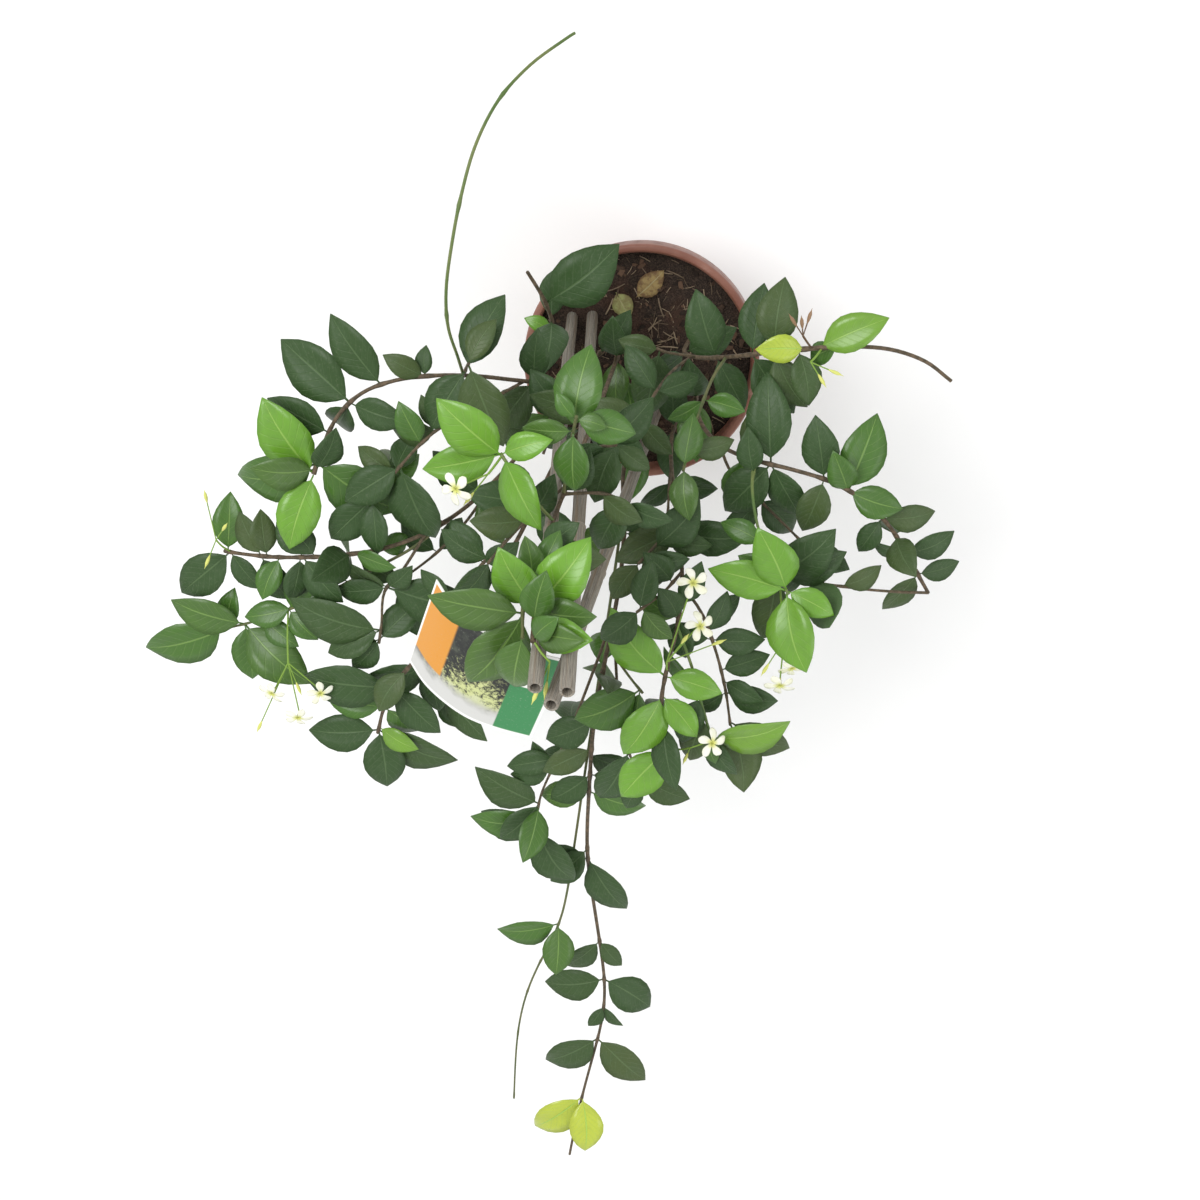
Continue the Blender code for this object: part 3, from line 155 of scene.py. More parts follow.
class Finish:
    """A finish being written: its nodes, and the sockets of its shader."""

    def __init__(self, name, **constants):
        self.material = bpy.data.materials.new(name)
        self.material.use_nodes = True
        self.tree = self.material.node_tree
        self.shader = self.tree.nodes["Principled BSDF"]
        self.give(**constants)

    def node(self, kind, settings=None, inputs=None, out=0):
        """Add a node: its type, its settings, and the values or links of its sockets."""
        made = self.tree.nodes.new("ShaderNode" + kind)
        for key, value in (settings or {}).items():
            if key == "stops":
                ramp = made.color_ramp
                while len(ramp.elements) < len(value):
                    ramp.elements.new(0.5)
                for element, (place, colour) in zip(ramp.elements, value):
                    element.position = place
                    element.color = (*colour, 1.0)
            else:
                setattr(made, key, value)
        for key, value in (inputs or {}).items():
            self.feed(made.inputs[key], value)
        return Wire(self, made.outputs[out])

    def feed(self, socket, value):
        if isinstance(value, Wire):
            self.tree.links.new(value.socket, socket)
        elif socket.type == "RGBA":
            socket.default_value = (*value, 1.0)
        else:
            socket.default_value = value

    def give(self, **links):
        for socket, value in links.items():
            self.feed(self.shader.inputs[socket.replace("_", " ")], value)

    def place(self, kind="Object"):
        return self.node("TexCoord", None, None, kind)

    def stretched(self, where, scale):
        return self.node("Mapping", None, {"Vector": where, "Scale": scale})

    def noise(self, where, scale, detail=3.0, rough=0.55):
        inputs = {"Vector": where, "Scale": scale, "Detail": detail, "Roughness": rough}
        return self.node("TexNoise", None, inputs)

    def cells(self, where, scale):
        return self.node("TexVoronoi", None, {"Vector": where, "Scale": scale}, "Distance")

    def value(self, name):
        return self.node("Attribute", {"attribute_name": name}, None, "Fac")

    def parts(self, where):
        split = self.node("SeparateXYZ", None, {"Vector": where})
        outputs = split.socket.node.outputs
        return [Wire(self, outputs[axis]) for axis in range(3)]

    def mix(self, share, first, second):
        """The first colour where the share is 0, the second where it is 1."""
        return self.node("Mix", {"data_type": "RGBA"}, {0: share, 6: first, 7: second}, 2)

    def ramp(self, value, *stops):
        return self.node("ValToRGB", {"stops": stops}, {0: value})

    def fade(self, value, start, end):
        """0 before start, 1 after end, smooth between."""
        inputs = {"Value": value, "From Min": start, "From Max": end}
        return self.node("MapRange", {"interpolation_type": "SMOOTHSTEP"}, inputs)

    def done(self, colour, gloss, relief, strength, distance, **more):
        """Wire the shader, with the relief as a bump of this strength and depth, and give the material."""
        inputs = {"Height": relief, "Strength": strength, "Distance": distance}
        bump = self.node("Bump", None, inputs)
        self.give(Base_Color=colour, Roughness=gloss, Normal=bump, **more)
        return self.material


print("finish helpers ready")

# %% [markdown]
# The sizes below are those of the solid model. The finer pieces are made from the same ones, so that each
# leaf, twig and flower lands where its solid stands.

# %% Sizes, in metres
# The pot and its soil
RIM_RADIUS = 0.105
FOOT_RADIUS = 0.066
POT_HEIGHT = 0.180
WALL = 0.0030
LIP = 0.0045
BAND_HEIGHT = 0.026
SOIL_HEIGHT = 0.158
FLOOR_THICK = 0.0040
DRAIN_HOLE = 0.0055
DRAIN_RING = 0.044
DRAINS = 5

# The canes and the printed card
CANE_RADIUS = 0.0050
CANE_BORE = 0.0033
CANE_BORE_DEPTH = 0.030
CANE_RINGS = (0.30, 0.68)
LABEL_THICK = 0.0010
LEAN_HEIGHT = 0.590

# The plant
STEM_RADIUS = 0.0021
SHOOT_RADIUS = 0.0014
WHIP_RADIUS = 0.0013
LEAF_THICK = 0.0008
LEAF_LENGTH = 0.056
LEAF_SHAPE = 0.54
LEAF_LONGEST = 0.078
BUD_LENGTH = 0.010
SEED = 31

# How deep the stems stand in the soil
STEM_DEPTH = 0.030

# What leaves and stems keep between them
LEAF_CLEAR = 0.0006
LEAF_CLEAR_NEAR = 0.0003
STEM_CLEAR = 0.0025
CANE_CLEAR = 0.0030
LOWEST_LEAF = 0.225

print("pot", RIM_RADIUS * 2, "wide and", POT_HEIGHT, "high")

# %% [markdown]
# Star jasmine leaves grow in pairs, one on each side of a joint, and each pair is turned a quarter from
# the last. The photograph fixes where the outer joints and leaf tips are, so they are listed by pixel and
# height. Each leafy stem has the route of its main stem, from its foot in the soil, and its shoots. A shoot
# is a tone (old, mid, young or lime), the height at which it leaves the main stem, or None where it is the
# main stem itself, and its joints: where each is, and the pixels of the tips of the leaves that grow there.

# %% Where each stem, shoot and leaf grows
STEMS = {
    "leafy_stem_north_west": {
        "foot": (-0.052, 0.012),
        "route": (
            (592, 350, 0.24), (560, 392, 0.33), (520, 378, 0.37), (480, 373, 0.385), (420, 373, 0.39),
            (381, 378, 0.39), (344, 389, 0.385), (327, 405, 0.38), (325, 436, 0.385), (315, 470, 0.39)),
        "shoots": (
            ("old", None, (
                ((424, 374, 0.389), (384, 352), (426, 345)), ((378, 379, 0.389), (329, 315)),
                ((340, 391, 0.384), (411, 420), (279, 340)), ((326, 430, 0.384), (266, 399)))),
            ("mid", None, (((318, 463, 0.389), (214, 487), (410, 520)),)),
            ("young", None, (((312, 474, 0.390), (261, 399), (289, 550)),)),
            ("old", 0.386, (
                ((463, 367, 0.40), (437, 318), (504, 294), (430, 430)),
                ((468, 364, 0.42), (496, 319), (502, 448)))),
            ("old", 0.36, (
                ((430, 420, 0.40), (380, 440), (420, 395)), ((400, 470, 0.40), (345, 497), (434, 540)),
                ((372, 500, 0.39), (380, 552), (330, 540)))),
        ),
    },
    "leafy_stem_west": {
        "foot": (-0.058, -0.030),
        "route": (
            (548, 420, 0.26), (470, 510, 0.36), (400, 552, 0.39), (330, 556, 0.39), (262, 560, 0.37),
            (228, 552, 0.36)),
        "shoots": (
            ("old", None, (
                ((300, 557, 0.385), (276, 522), (345, 600)), ((262, 560, 0.37), (238, 512), (290, 600)),
                ((231, 552, 0.36), (180, 594), (262, 590)))),
            ("old", 0.33, (
                ((440, 560, 0.36), (470, 520), (400, 520)), ((400, 580, 0.35), (430, 640), (360, 560)))),
            ("mid", 0.37, (
                ((290, 610, 0.36), (330, 560), (318, 640)),
                ((246, 627, 0.35), (172, 600), (252, 680), (310, 684)),
                ((226, 629, 0.345), (140, 651), (234, 588)))),
            ("old", 0.38, (
                ((360, 618, 0.37), (240, 584), (330, 650)),
                ((392, 598, 0.39), (336, 592), (420, 562), (474, 614)),
                ((380, 640, 0.38), (352, 668), (420, 600)))),
        ),
    },
    "leafy_stem_south_west": {
        "foot": (-0.030, -0.052),
        "route": (
            (565, 440, 0.28), (510, 560, 0.40), (450, 630, 0.41), (400, 670, 0.39), (381, 700, 0.37),
            (378, 730, 0.355)),
        "shoots": (
            ("old", None, (
                ((381, 681, 0.38), (307, 674), (440, 734)),
                ((378, 729, 0.355), (308, 731), (387, 788), (457, 757)))),
            ("young", None, (((379, 727, 0.357), (418, 750)),)),
            ("old", 0.36, (
                ((480, 560, 0.40), (520, 540), (450, 520)), ((450, 600, 0.40), (500, 620), (420, 570)))),
            ("old", 0.40, (((415, 660, 0.36), (438, 712), (352, 700)), ((440, 690, 0.35), (468, 730)))),
        ),
    },
    "leafy_stem_crown": {
        "foot": (-0.012, 0.030),
        "route": (
            (612, 372, 0.27), (590, 430, 0.38), (560, 500, 0.48), (540, 560, 0.55), (532, 600, 0.600),
            (534, 640, 0.622)),
        "shoots": (
            ("young", None, (
                ((531, 598, 0.600), (590, 538), (484, 552)), ((535, 636, 0.620), (598, 628)))),
            ("mid", 0.56, (((505, 600, 0.615), (466, 692), (428, 590)), ((520, 634, 0.618), (514, 702)))),
            ("old", 0.45, (
                ((520, 515, 0.48), (470, 520), (556, 470)),
                ((490, 560, 0.48), (440, 530), (520, 600), (452, 600)))),
            ("old", 0.34, (
                ((570, 400, 0.36), (530, 370), (610, 410)), ((545, 450, 0.38), (500, 430), (590, 470)))),
            ("young", 0.50, (
                ((499, 456, 0.52), (436, 400), (550, 525)), ((500, 454, 0.512), (552, 440), (422, 470)))),
            ("mid", 0.46, (
                ((574, 419, 0.50), (588, 344), (522, 428), (574, 492)),
                ((576, 417, 0.515), (607, 428), (556, 392), (638, 436)))),
            ("old", 0.44, (
                ((602, 413, 0.45), (654, 398), (560, 455)), ((615, 440, 0.46), (650, 470), (596, 500)))),
            ("old", 0.47, (
                ((600, 470, 0.47), (640, 520), (570, 540)), ((625, 500, 0.47), (672, 520), (600, 560)))),
        ),
    },
    "leafy_stem_south": {
        "foot": (0.004, -0.058),
        "route": (
            (630, 450, 0.27), (625, 560, 0.37), (605, 660, 0.41), (592, 722, 0.40), (591, 762, 0.375),
            (588, 807, 0.345), (586, 858, 0.31), (594, 902, 0.28), (599, 940, 0.255), (606, 979, 0.235),
            (606, 1008, 0.22), (598, 1038, 0.205), (582, 1095, 0.18), (575, 1125, 0.17),
            (570, 1152, 0.165)),
        "shoots": (
            ("old", None, (
                ((592, 724, 0.40), (545, 740), (640, 690)), ((590, 775, 0.367), (550, 800), (640, 775)),
                ((586, 858, 0.31), (626, 911), (534, 850)))),
            ("old", None, (
                ((599, 940, 0.255), (622, 966), (562, 966)), ((606, 979, 0.235), (544, 983), (651, 1008)),
                ((606, 1006, 0.221), (588, 1024), (623, 1024)),
                ((598, 1038, 0.205), (540, 1064), (645, 1082)))),
            ("lime", None, (((581, 1096, 0.180), (526, 1133), (588, 1147)),)),
            ("mid", 0.31, (
                ((569, 881, 0.30),), ((561, 924, 0.275), (497, 931), (556, 976)), ((540, 960, 0.25),),
                ((526, 991, 0.235),), ((517, 1031, 0.21),), ((514, 1096, 0.18),))),
            ("old", 0.39, (
                ((553, 772, 0.37), (532, 742), (510, 775)), ((530, 800, 0.35), (476, 762), (500, 840)),
                ((536, 828, 0.34), (574, 882), (480, 812)))),
            ("old", 0.395, (
                ((622, 752, 0.38), (600, 800), (655, 720)), ((640, 778, 0.37), (690, 800), (625, 812)))),
            ("mid", 0.405, (((640, 690, 0.42), (574, 720), (636, 740)),)),
        ),
    },
    "leafy_stem_south_east": {
        "foot": (0.036, -0.044),
        "route": (
            (668, 440, 0.28), (680, 540, 0.38), (690, 600, 0.42), (672, 655, 0.44), (652, 690, 0.445),
            (658, 722, 0.43), (668, 748, 0.42)),
        "shoots": (
            ("young", None, (((652, 680, 0.445), (607, 616), (722, 694)),)),
            ("young", None, (
                ((653, 698, 0.442), (697, 738), (624, 756)), ((668, 748, 0.42), (621, 798)))),
            ("old", 0.30, (
                ((672, 470, 0.33), (640, 505), (718, 490)), ((668, 515, 0.35), (610, 520), (715, 545)))),
            ("old", 0.40, (((640, 610, 0.45), (600, 640), (652, 560)),)),
            ("young", 0.43, (((711, 738, 0.42), (790, 724)),)),
            ("old", 0.41, (
                ((719, 640, 0.42), (668, 626), (765, 640)), ((728, 694, 0.41), (778, 702), (690, 710)),
                ((730, 722, 0.40), (790, 750), (742, 790)))),
            ("old", 0.37, (
                ((655, 530, 0.42), (655, 588), (700, 500)), ((640, 560, 0.42), (612, 600), (690, 560)))),
        ),
    },
    "leafy_stem_east": {
        "foot": (0.058, -0.016),
        "route": (
            (690, 400, 0.26), (715, 456, 0.34), (765, 462, 0.37), (820, 474, 0.375), (858, 484, 0.37),
            (889, 514, 0.36), (904, 545, 0.35), (914, 573, 0.34), (926, 590, 0.335)),
        "shoots": (
            ("old", None, (
                ((768, 463, 0.37), (800, 517), (712, 500), (767, 372)),
                ((826, 476, 0.374), (802, 532), (815, 416)), ((889, 514, 0.36), (936, 512), (858, 552)),
                ((907, 553, 0.347), (955, 532), (872, 540)), ((915, 575, 0.34), (960, 562), (884, 618)))),
            ("mid", None, (((856, 483, 0.37), (903, 509), (832, 444), (878, 414)),)),
            ("old", 0.33, (
                ((760, 500, 0.35), (720, 540), (800, 540)), ((800, 540, 0.34), (850, 570), (770, 590)))),
            ("young", 0.36, (
                ((750, 540, 0.40),), ((786, 591, 0.42), (708, 570), (757, 524), (834, 616), (804, 671)))),
            ("old", 0.38, (((776, 575, 0.385), (847, 553), (836, 526), (762, 640)),)),
        ),
    },
    "leafy_stem_north_east": {
        "foot": (0.046, 0.022),
        "route": (
            (676, 356, 0.25), (712, 360, 0.31), (753, 354, 0.345), (790, 350, 0.36), (818, 347, 0.365),
            (858, 344, 0.36), (892, 341, 0.355), (925, 342, 0.35), (942, 352, 0.345), (950, 377, 0.34)),
        "shoots": (
            ("old", None, (
                ((712, 360, 0.31), (696, 290), (745, 410)), ((748, 356, 0.34), (764, 283), (795, 414)))),
            ("lime", None, (((806, 349, 0.363), (755, 348)),)),
            ("young", None, (((818, 347, 0.365), (889, 318)),)),
            ("mid", 0.31, (
                ((700, 395, 0.36), (745, 412), (668, 420)), ((684, 467, 0.40), (694, 414), (690, 520)))),
            ("old", 0.27, (
                ((650, 385, 0.32), (625, 345), (700, 375)), ((640, 420, 0.35), (590, 400), (672, 455)))),
            ("old", 0.28, (((660, 350, 0.29), (618, 340), (645, 420)),)),
        ),
    },
    "leafy_stem_pot_edge": {
        "foot": (-0.078, 0.016),
        "route": (
            (552, 345, 0.215), (556, 328, 0.25), (554, 306, 0.275), (543, 290, 0.285), (530, 275, 0.29)),
        "shoots": (
            ("old", None, (((557, 306, 0.273), (619, 245)),)),
            ("young", None, (((554, 334, 0.235), (524, 318)),)),
        ),
    },
}

print(len(STEMS), "leafy stems")

# %% [markdown]
# The middle of the thicket shows many leaves whose joints are hidden. For these only the tip's pixel is
# listed, and each grows later from a high stem that passes near. One shoot has no leaves yet: a long whip,
# as a climber sends out to find its next hold.

# %% More leaf tips, and the whip
MORE_TIPS = (
    (338, 425), (352, 452), (322, 446), (398, 402), (250, 468), (230, 492), (262, 508), (284, 522),
    (243, 394), (300, 572), (342, 566), (262, 600), (246, 614), (290, 604), (300, 646), (332, 656),
    (410, 450), (428, 430), (452, 444), (396, 520), (402, 552), (422, 536), (378, 712), (720, 522),
    (712, 546), (738, 556), (728, 590), (748, 602), (702, 562), (770, 655), (764, 700), (735, 440),
    (748, 428), (800, 372), (806, 402), (882, 566), (660, 576), (640, 592), (606, 560), (600, 612),
    (594, 642), (690, 766), (716, 772), (682, 744), (736, 772), (672, 640), (655, 660), (690, 666),
    (525, 536), (560, 530), (546, 572), (562, 610), (500, 466), (490, 738), (508, 762), (470, 818),
    (516, 850), (550, 882), (545, 764), (640, 546), (575, 575), (588, 560), (580, 520),
)

WHIPS = {
    "leafy_stem_north_west": (
        (463, 371, 0.388), (452, 350, 0.42), (438, 330, 0.44), (440, 295, 0.455), (452, 250, 0.46),
        (461, 180, 0.455), (474, 122, 0.445), (489, 92, 0.435), (513, 68, 0.425), (545, 49, 0.41),
        (571, 35, 0.395)),
}

print(len(MORE_TIPS), "more leaf tips,", len(WHIPS), "whip")

# %% [markdown]
# The flowers stand above the leaves on short forked stalks, and the canes lean together at the top. Their
# places come from the photograph in the same way.

# %% Where the flowers, canes, card and fallen leaves are
# Flowers. Each bunch has the place its stalk leaves the stem, its fork, and its heads as
# (across, down, height, span in millimetres); a head with a span of 0 is a closed bud.
BUNCHES = {
    "flowers_west_rosette": (("leafy_stem_crown", 497, 458, 0.50), (478, 474, 0.525), (
        (456, 489, 0.540, 24), (470, 497, 0.530, 0))),
    "flowers_south_middle": (("leafy_stem_south_east", 654, 688, 0.445), (676, 662, 0.462), (
        (693, 583, 0.470, 24), (700, 626, 0.470, 23), (717, 643, 0.465, 0), (684, 640, 0.470, 0))),
    "flowers_south_east": (("leafy_stem_south_east", 666, 745, 0.42), (690, 748, 0.432), (
        (712, 743, 0.440, 24), (686, 757, 0.440, 0))),
    "flowers_east": (("leafy_stem_east", 786, 592, 0.41), (784, 640, 0.425), (
        (780, 685, 0.430, 25), (766, 668, 0.430, 0), (792, 668, 0.425, 22))),
    "flowers_south_west": (("leafy_stem_west", 290, 612, 0.36), (290, 660, 0.372), (
        (274, 690, 0.380, 24), (300, 714, 0.380, 24), (322, 690, 0.385, 23), (262, 722, 0.375, 0),
        (300, 684, 0.382, 0))),
    "buds_west": (("leafy_stem_west", 231, 552, 0.36), (216, 540, 0.372), (
        (206, 498, 0.380, 0), (224, 528, 0.380, 0), (208, 560, 0.378, 0))),
    "buds_north_east": (("leafy_stem_north_east", 818, 347, 0.365), (820, 362, 0.375), (
        (821, 379, 0.380, 0), (834, 372, 0.380, 0))),
    "dry_flowers_north_east": (("leafy_stem_north_east", 808, 348, 0.365), (803, 336, 0.372), (
        (802, 324, 0.376, 0), (794, 322, 0.374, 0), (809, 318, 0.374, 0))),
    "buds_crown": (("leafy_stem_crown", 534, 640, 0.622), (539, 662, 0.632), (
        (546, 688, 0.640, 0), (536, 694, 0.636, 0))),
}

# The canes: where each stands in the soil, and where the photograph shows its open end
CANES = {
    "cane_a": ((-0.044, 0.038), (567, 692, 0.660), 0.045),
    "cane_b": ((-0.062, 0.038), (535, 688, 0.655), 0.030),
    "cane_c": ((0.012, -0.050), (551, 705, 0.652), 0.060),
}

# Fallen leaves on the soil: base, tip and width in metres
FALLEN = {
    "fallen_leaf_brown": ((636, 297), (664, 270), 0.018),
    "fallen_leaf_olive": ((616, 292), (630, 318), 0.017),
    "fallen_leaf_pale": ((700, 308), (722, 328), 0.016),
    "fallen_leaf_small": ((694, 415), (704, 431), 0.010),
}

# The card's lower long edge
LABEL_EDGE = (
    (409, 660, 0.522), (424, 683, 0.533), (444, 702, 0.542), (468, 718, 0.549), (497, 729, 0.554),
    (531, 738, 0.556),
)

print(len(BUNCHES), "bunches,", len(CANES), "canes")

# %% [markdown]
# The pot's outline is a list of (radius, height) pairs: from the middle of its foot out, up the tapering
# wall, round the thicker band and the lip, and down the inside to the middle of its floor.

# %% The pot's outline
wall_slope = (RIM_RADIUS - LIP - FOOT_RADIUS) / (POT_HEIGHT - BAND_HEIGHT)


def wall_radius(height):
    """The outer radius of the pot's wall under its band."""
    return FOOT_RADIUS + wall_slope * height


shoulder = POT_HEIGHT - BAND_HEIGHT
POT_PROFILE = (
    (0.0, 0.0), (FOOT_RADIUS - 0.002, 0.0), (wall_radius(0.002), 0.002), (wall_radius(shoulder), shoulder),
    (RIM_RADIUS - 0.0012, shoulder), (RIM_RADIUS, shoulder + 0.0015), (RIM_RADIUS, POT_HEIGHT - 0.002),
    (RIM_RADIUS - 0.0015, POT_HEIGHT), (RIM_RADIUS - LIP - 0.001, POT_HEIGHT),
    (RIM_RADIUS - LIP - WALL, POT_HEIGHT - 0.003),
    (wall_radius(shoulder) - WALL, shoulder), (wall_radius(FLOOR_THICK) - WALL, FLOOR_THICK),
    (0.0, FLOOR_THICK),
)

print("the pot's outline has", len(POT_PROFILE), "corners")

# %% [markdown]
# A twig bends smoothly, so its joints are joined by a curve that runs through all of them. The solid model
# has plain tubes along those curves, and the same tubes are made here to find out which places are free.

# %% Curves and tubes


def smooth_route(places, spacing, before=None):
    """Points along a smooth curve through the places, about as far apart as the spacing."""
    ends = [before or places[0] * 2 - places[1]] + list(places) + [places[-1] * 2 - places[-2]]
    line = [places[0].copy()]
    for a, b, c, d in zip(ends, ends[1:], ends[2:], ends[3:]):
        steps = max(1, round((c - b).length / spacing))
        for step in range(1, steps + 1):
            t = step / steps
            square = a * 2 - b * 5 + c * 4 - d
            cube = b * 3 - a - c * 3 + d
            line.append((b * 2 + (c - a) * t + square * t * t + cube * t ** 3) / 2)
    return line


def tube_parts(line, radii, sides):
    """Points and faces of a closed tube along a line."""
    points = []
    faces = []
    way = (line[1] - line[0]).normalized()
    side = way.orthogonal().normalized()
    for index, centre in enumerate(line):
        ahead = line[min(index + 1, len(line) - 1)]
        behind = line[max(index - 1, 0)]
        new_way = (ahead - behind).normalized()
        side = (way.rotation_difference(new_way) @ side).normalized()
        side = (side - new_way * side.dot(new_way)).normalized()
        way = new_way
        other = way.cross(side)
        for number in range(sides):
            turn = 2 * math.pi * number / sides
            points.append(centre + (side * math.cos(turn) + other * math.sin(turn)) * radii[index])
    for ring in range(len(line) - 1):
        for number in range(sides):
            following = (number + 1) % sides
            low = ring * sides
            high = low + sides
            faces.append((low + number, low + following, high + following))
            faces.append((low + number, high + following, high + number))
    last = (len(line) - 1) * sides
    for number in range(1, sides - 1):
        faces.append((0, number + 1, number))
        faces.append((last, last + number, last + number + 1))
    return points, faces


print("curves and tubes ready")

# %% [markdown]
# In the solid model a leaf is a thin blade, folded along its midrib and bowed. Rows of three points, left
# edge, middle and right edge, run across it. The same blade serves here as a gauge: a leaf that would cut
# through its neighbour is turned until its blade is clear.

# %% Plain blades
# Rows: how far along the blade, and how wide there
BLADE_ROWS = ((0.28, 0.92), (0.68, 0.92))
CUT_FOOT_ROW = (0.11, 0.30)


def blade_parts(leaf, grow=0.0, skip_foot=False):
    """Points and faces of one blade, with the same triangles above and below.

    It can be grown by a margin, and its foot, which touches its own twig, can be left off.
    """
    root = leaf["root"]
    way = leaf["tip"] - root
    length = way.length
    way = way / length
    side = way.cross(leaf["up"]).normalized()
    face = side.cross(way)
    half = leaf["width"] / 2 + grow
    thick = leaf["thick"] / 2 + grow
    middle = []
    rows = list(BLADE_ROWS)
    if skip_foot:
        rows.insert(0, CUT_FOOT_ROW)
    for share, wide in rows:
        lift = leaf["bow"] * length * math.sin(math.pi * share)
        centre = root + way * (length * share) + face * lift
        edge = half * wide
        raised = leaf["fold"] * edge
        middle.append((centre - side * edge + face * raised, centre, centre + side * edge + face * raised))
    end = leaf["tip"] + way * grow
    points = []
    for level in (thick, -thick):
        if not skip_foot:
            points.append(root + face * level)
        for row in middle:
            points.extend(place + face * level for place in row)
        points.append(end + face * level)
    return points, blade_faces(len(middle), not skip_foot)


def blade_faces(count, pointed):
    """The triangles of a blade with so many rows of three, with a pointed or a cut foot."""
    first = 1 if pointed else 0
    each = first + 3 * count + 1
    top = []
    if pointed:
        top += [(0, 1, 2), (0, 2, 3)]
    for row in range(count - 1):
        a = first + 3 * row
        top += [(a, a + 3, a + 4), (a, a + 4, a + 1), (a + 1, a + 4, a + 2), (a + 2, a + 4, a + 5)]
    a = first + 3 * (count - 1)
    top += [(a, each - 1, a + 1), (a + 1, each - 1, a + 2)]
    left = [first + 3 * row for row in range(count)]
    right = [first + 3 * row + 2 for row in range(count)]
    if pointed:
        rim = [0] + left + [each - 1] + right[::-1]
    else:
        rim = [first + 1] + left + [each - 1] + right[::-1]
    faces = list(top)
    faces += [(c + each, b + each, a + each) for a, b, c in top]
    for a, b in zip(rim, rim[1:] + rim[:1]):
        faces += [(a, a + each, b + each), (a, b + each, b)]
    return faces


def tree_of(points, faces):
    """A search tree of a mesh, which quickly tells whether another mesh cuts it."""
    return BVHTree.FromPolygons([tuple(point) for point in points], faces)


print("a plain blade has", len(blade_faces(len(BLADE_ROWS), True)), "triangles")

# %% [markdown]
# Every stem and shoot starts as a line through the places that were listed. A shoot leaves its main stem at
# a given height and rises in a gentle knee before it runs to its first joint.

# %% Stems and shoots as lines
LINE_STEP = 0.012
chance = random.Random(SEED)
LINES = []


def add_line(stem, places, radius, parent=None, thin=0.75):
    """Keep one line. Its first points, up to the number in free, may not be pushed."""
    free = 1
    if parent is None:
        below = places[1] - Vector((0.0, 0.0, (places[2] - places[1]).length))
        line = [places[0]] + smooth_route(places[1:], LINE_STEP, below)
        free = 3
    else:
        line = smooth_route(places, LINE_STEP)
    line.append(line[-1] + (line[-1] - line[-2]).normalized() * 0.0035)
    LINES.append({"stem": stem, "line": line, "radius": radius, "parent": parent, "thin": thin, "free": free})
    return len(LINES) - 1


def nearest_on(index, height):
    """The number of the first point of a line that stands as high as this."""
    line = LINES[index]["line"]
    for number, point in enumerate(line):
        if point.z >= height:
            return number
    return len(line) - 1


SHOOT_JOINTS = []
for stem, data in STEMS.items():
    foot = Vector((*data["foot"], SOIL_HEIGHT - STEM_DEPTH))
    neck = Vector((*data["foot"], SOIL_HEIGHT + 0.010))
    route = [foot, neck] + [seen(place) for place in data["route"]]
    main = add_line(stem, route, STEM_RADIUS)
    for tone, leaves_at, joints in data["shoots"]:
        if leaves_at is None:
            for joint, *tips in joints:
                SHOOT_JOINTS.append((stem, main, tone, seen(joint), tips))
            continue
        start = nearest_on(main, leaves_at)
        base = LINES[main]["line"][start]
        spots = [seen(joint[0]) for joint in joints]
        rise = spots[0] - base
        knee = base + rise * 0.45 + Vector((0.0, 0.0, 0.10 * rise.length))
        places = [base.copy(), knee] + spots
        shoot_line = add_line(stem, places, SHOOT_RADIUS, (main, start))
        for joint, *tips in joints:
            SHOOT_JOINTS.append((stem, shoot_line, tone, seen(joint), tips))
for stem, places in WHIPS.items():
    main = next(index for index, item in enumerate(LINES) if item["stem"] == stem)
    first = seen(places[0])
    line = LINES[main]["line"]
    start = min(range(len(line)), key=lambda number: (line[number] - first).length)
    spots = [line[start].copy()] + [seen(place) for place in places[1:]]
    add_line(stem, spots, WHIP_RADIUS, (main, start), 0.9)

# The top and the foot of each cane's middle line
CANE_ENDS = {}
for name, (foot, top, depth) in CANES.items():
    high = seen(top)
    stand = Vector((*foot, SOIL_HEIGHT))
    way = (stand - high).normalized()
    CANE_ENDS[name] = (high, stand + way * (depth / -way.z))

print(len(LINES), "stems and shoots,", len(SHOOT_JOINTS), "leafy joints")

# %% [markdown]
# Stems cross each other all the time in a thicket, and they never pass through each other. Each stem is
# pushed away from its neighbours and from the canes, a little at a time, until none is too near.

# %% Stems pushed clear of each other
ROUNDS = 60
EXTRA_PUSH = 0.0003


def segment_gap(p, q, a, b):
    """The closest points of two short segments, one on each."""
    u = q - p
    v = b - a
    w = p - a
    uu = u.dot(u)
    uv = u.dot(v)
    vv = v.dot(v)
    uw = u.dot(w)
    vw = v.dot(w)
    base = uu * vv - uv * uv
    s = 0.0 if base < 1e-14 else min(1.0, max(0.0, (uv * vw - vv * uw) / base))
    t = min(1.0, max(0.0, (uv * s + vw) / vv)) if vv > 0 else 0.0
    s = min(1.0, max(0.0, (uv * t - uw) / uu)) if uu > 0 else 0.0
    return p + u * s, a + v * t


def shove(item, number, shift):
    """Move both ends of one step of a line, but not its foot."""
    for spot in (number, number + 1):
        if spot >= item["free"]:
            item["line"][spot] += shift


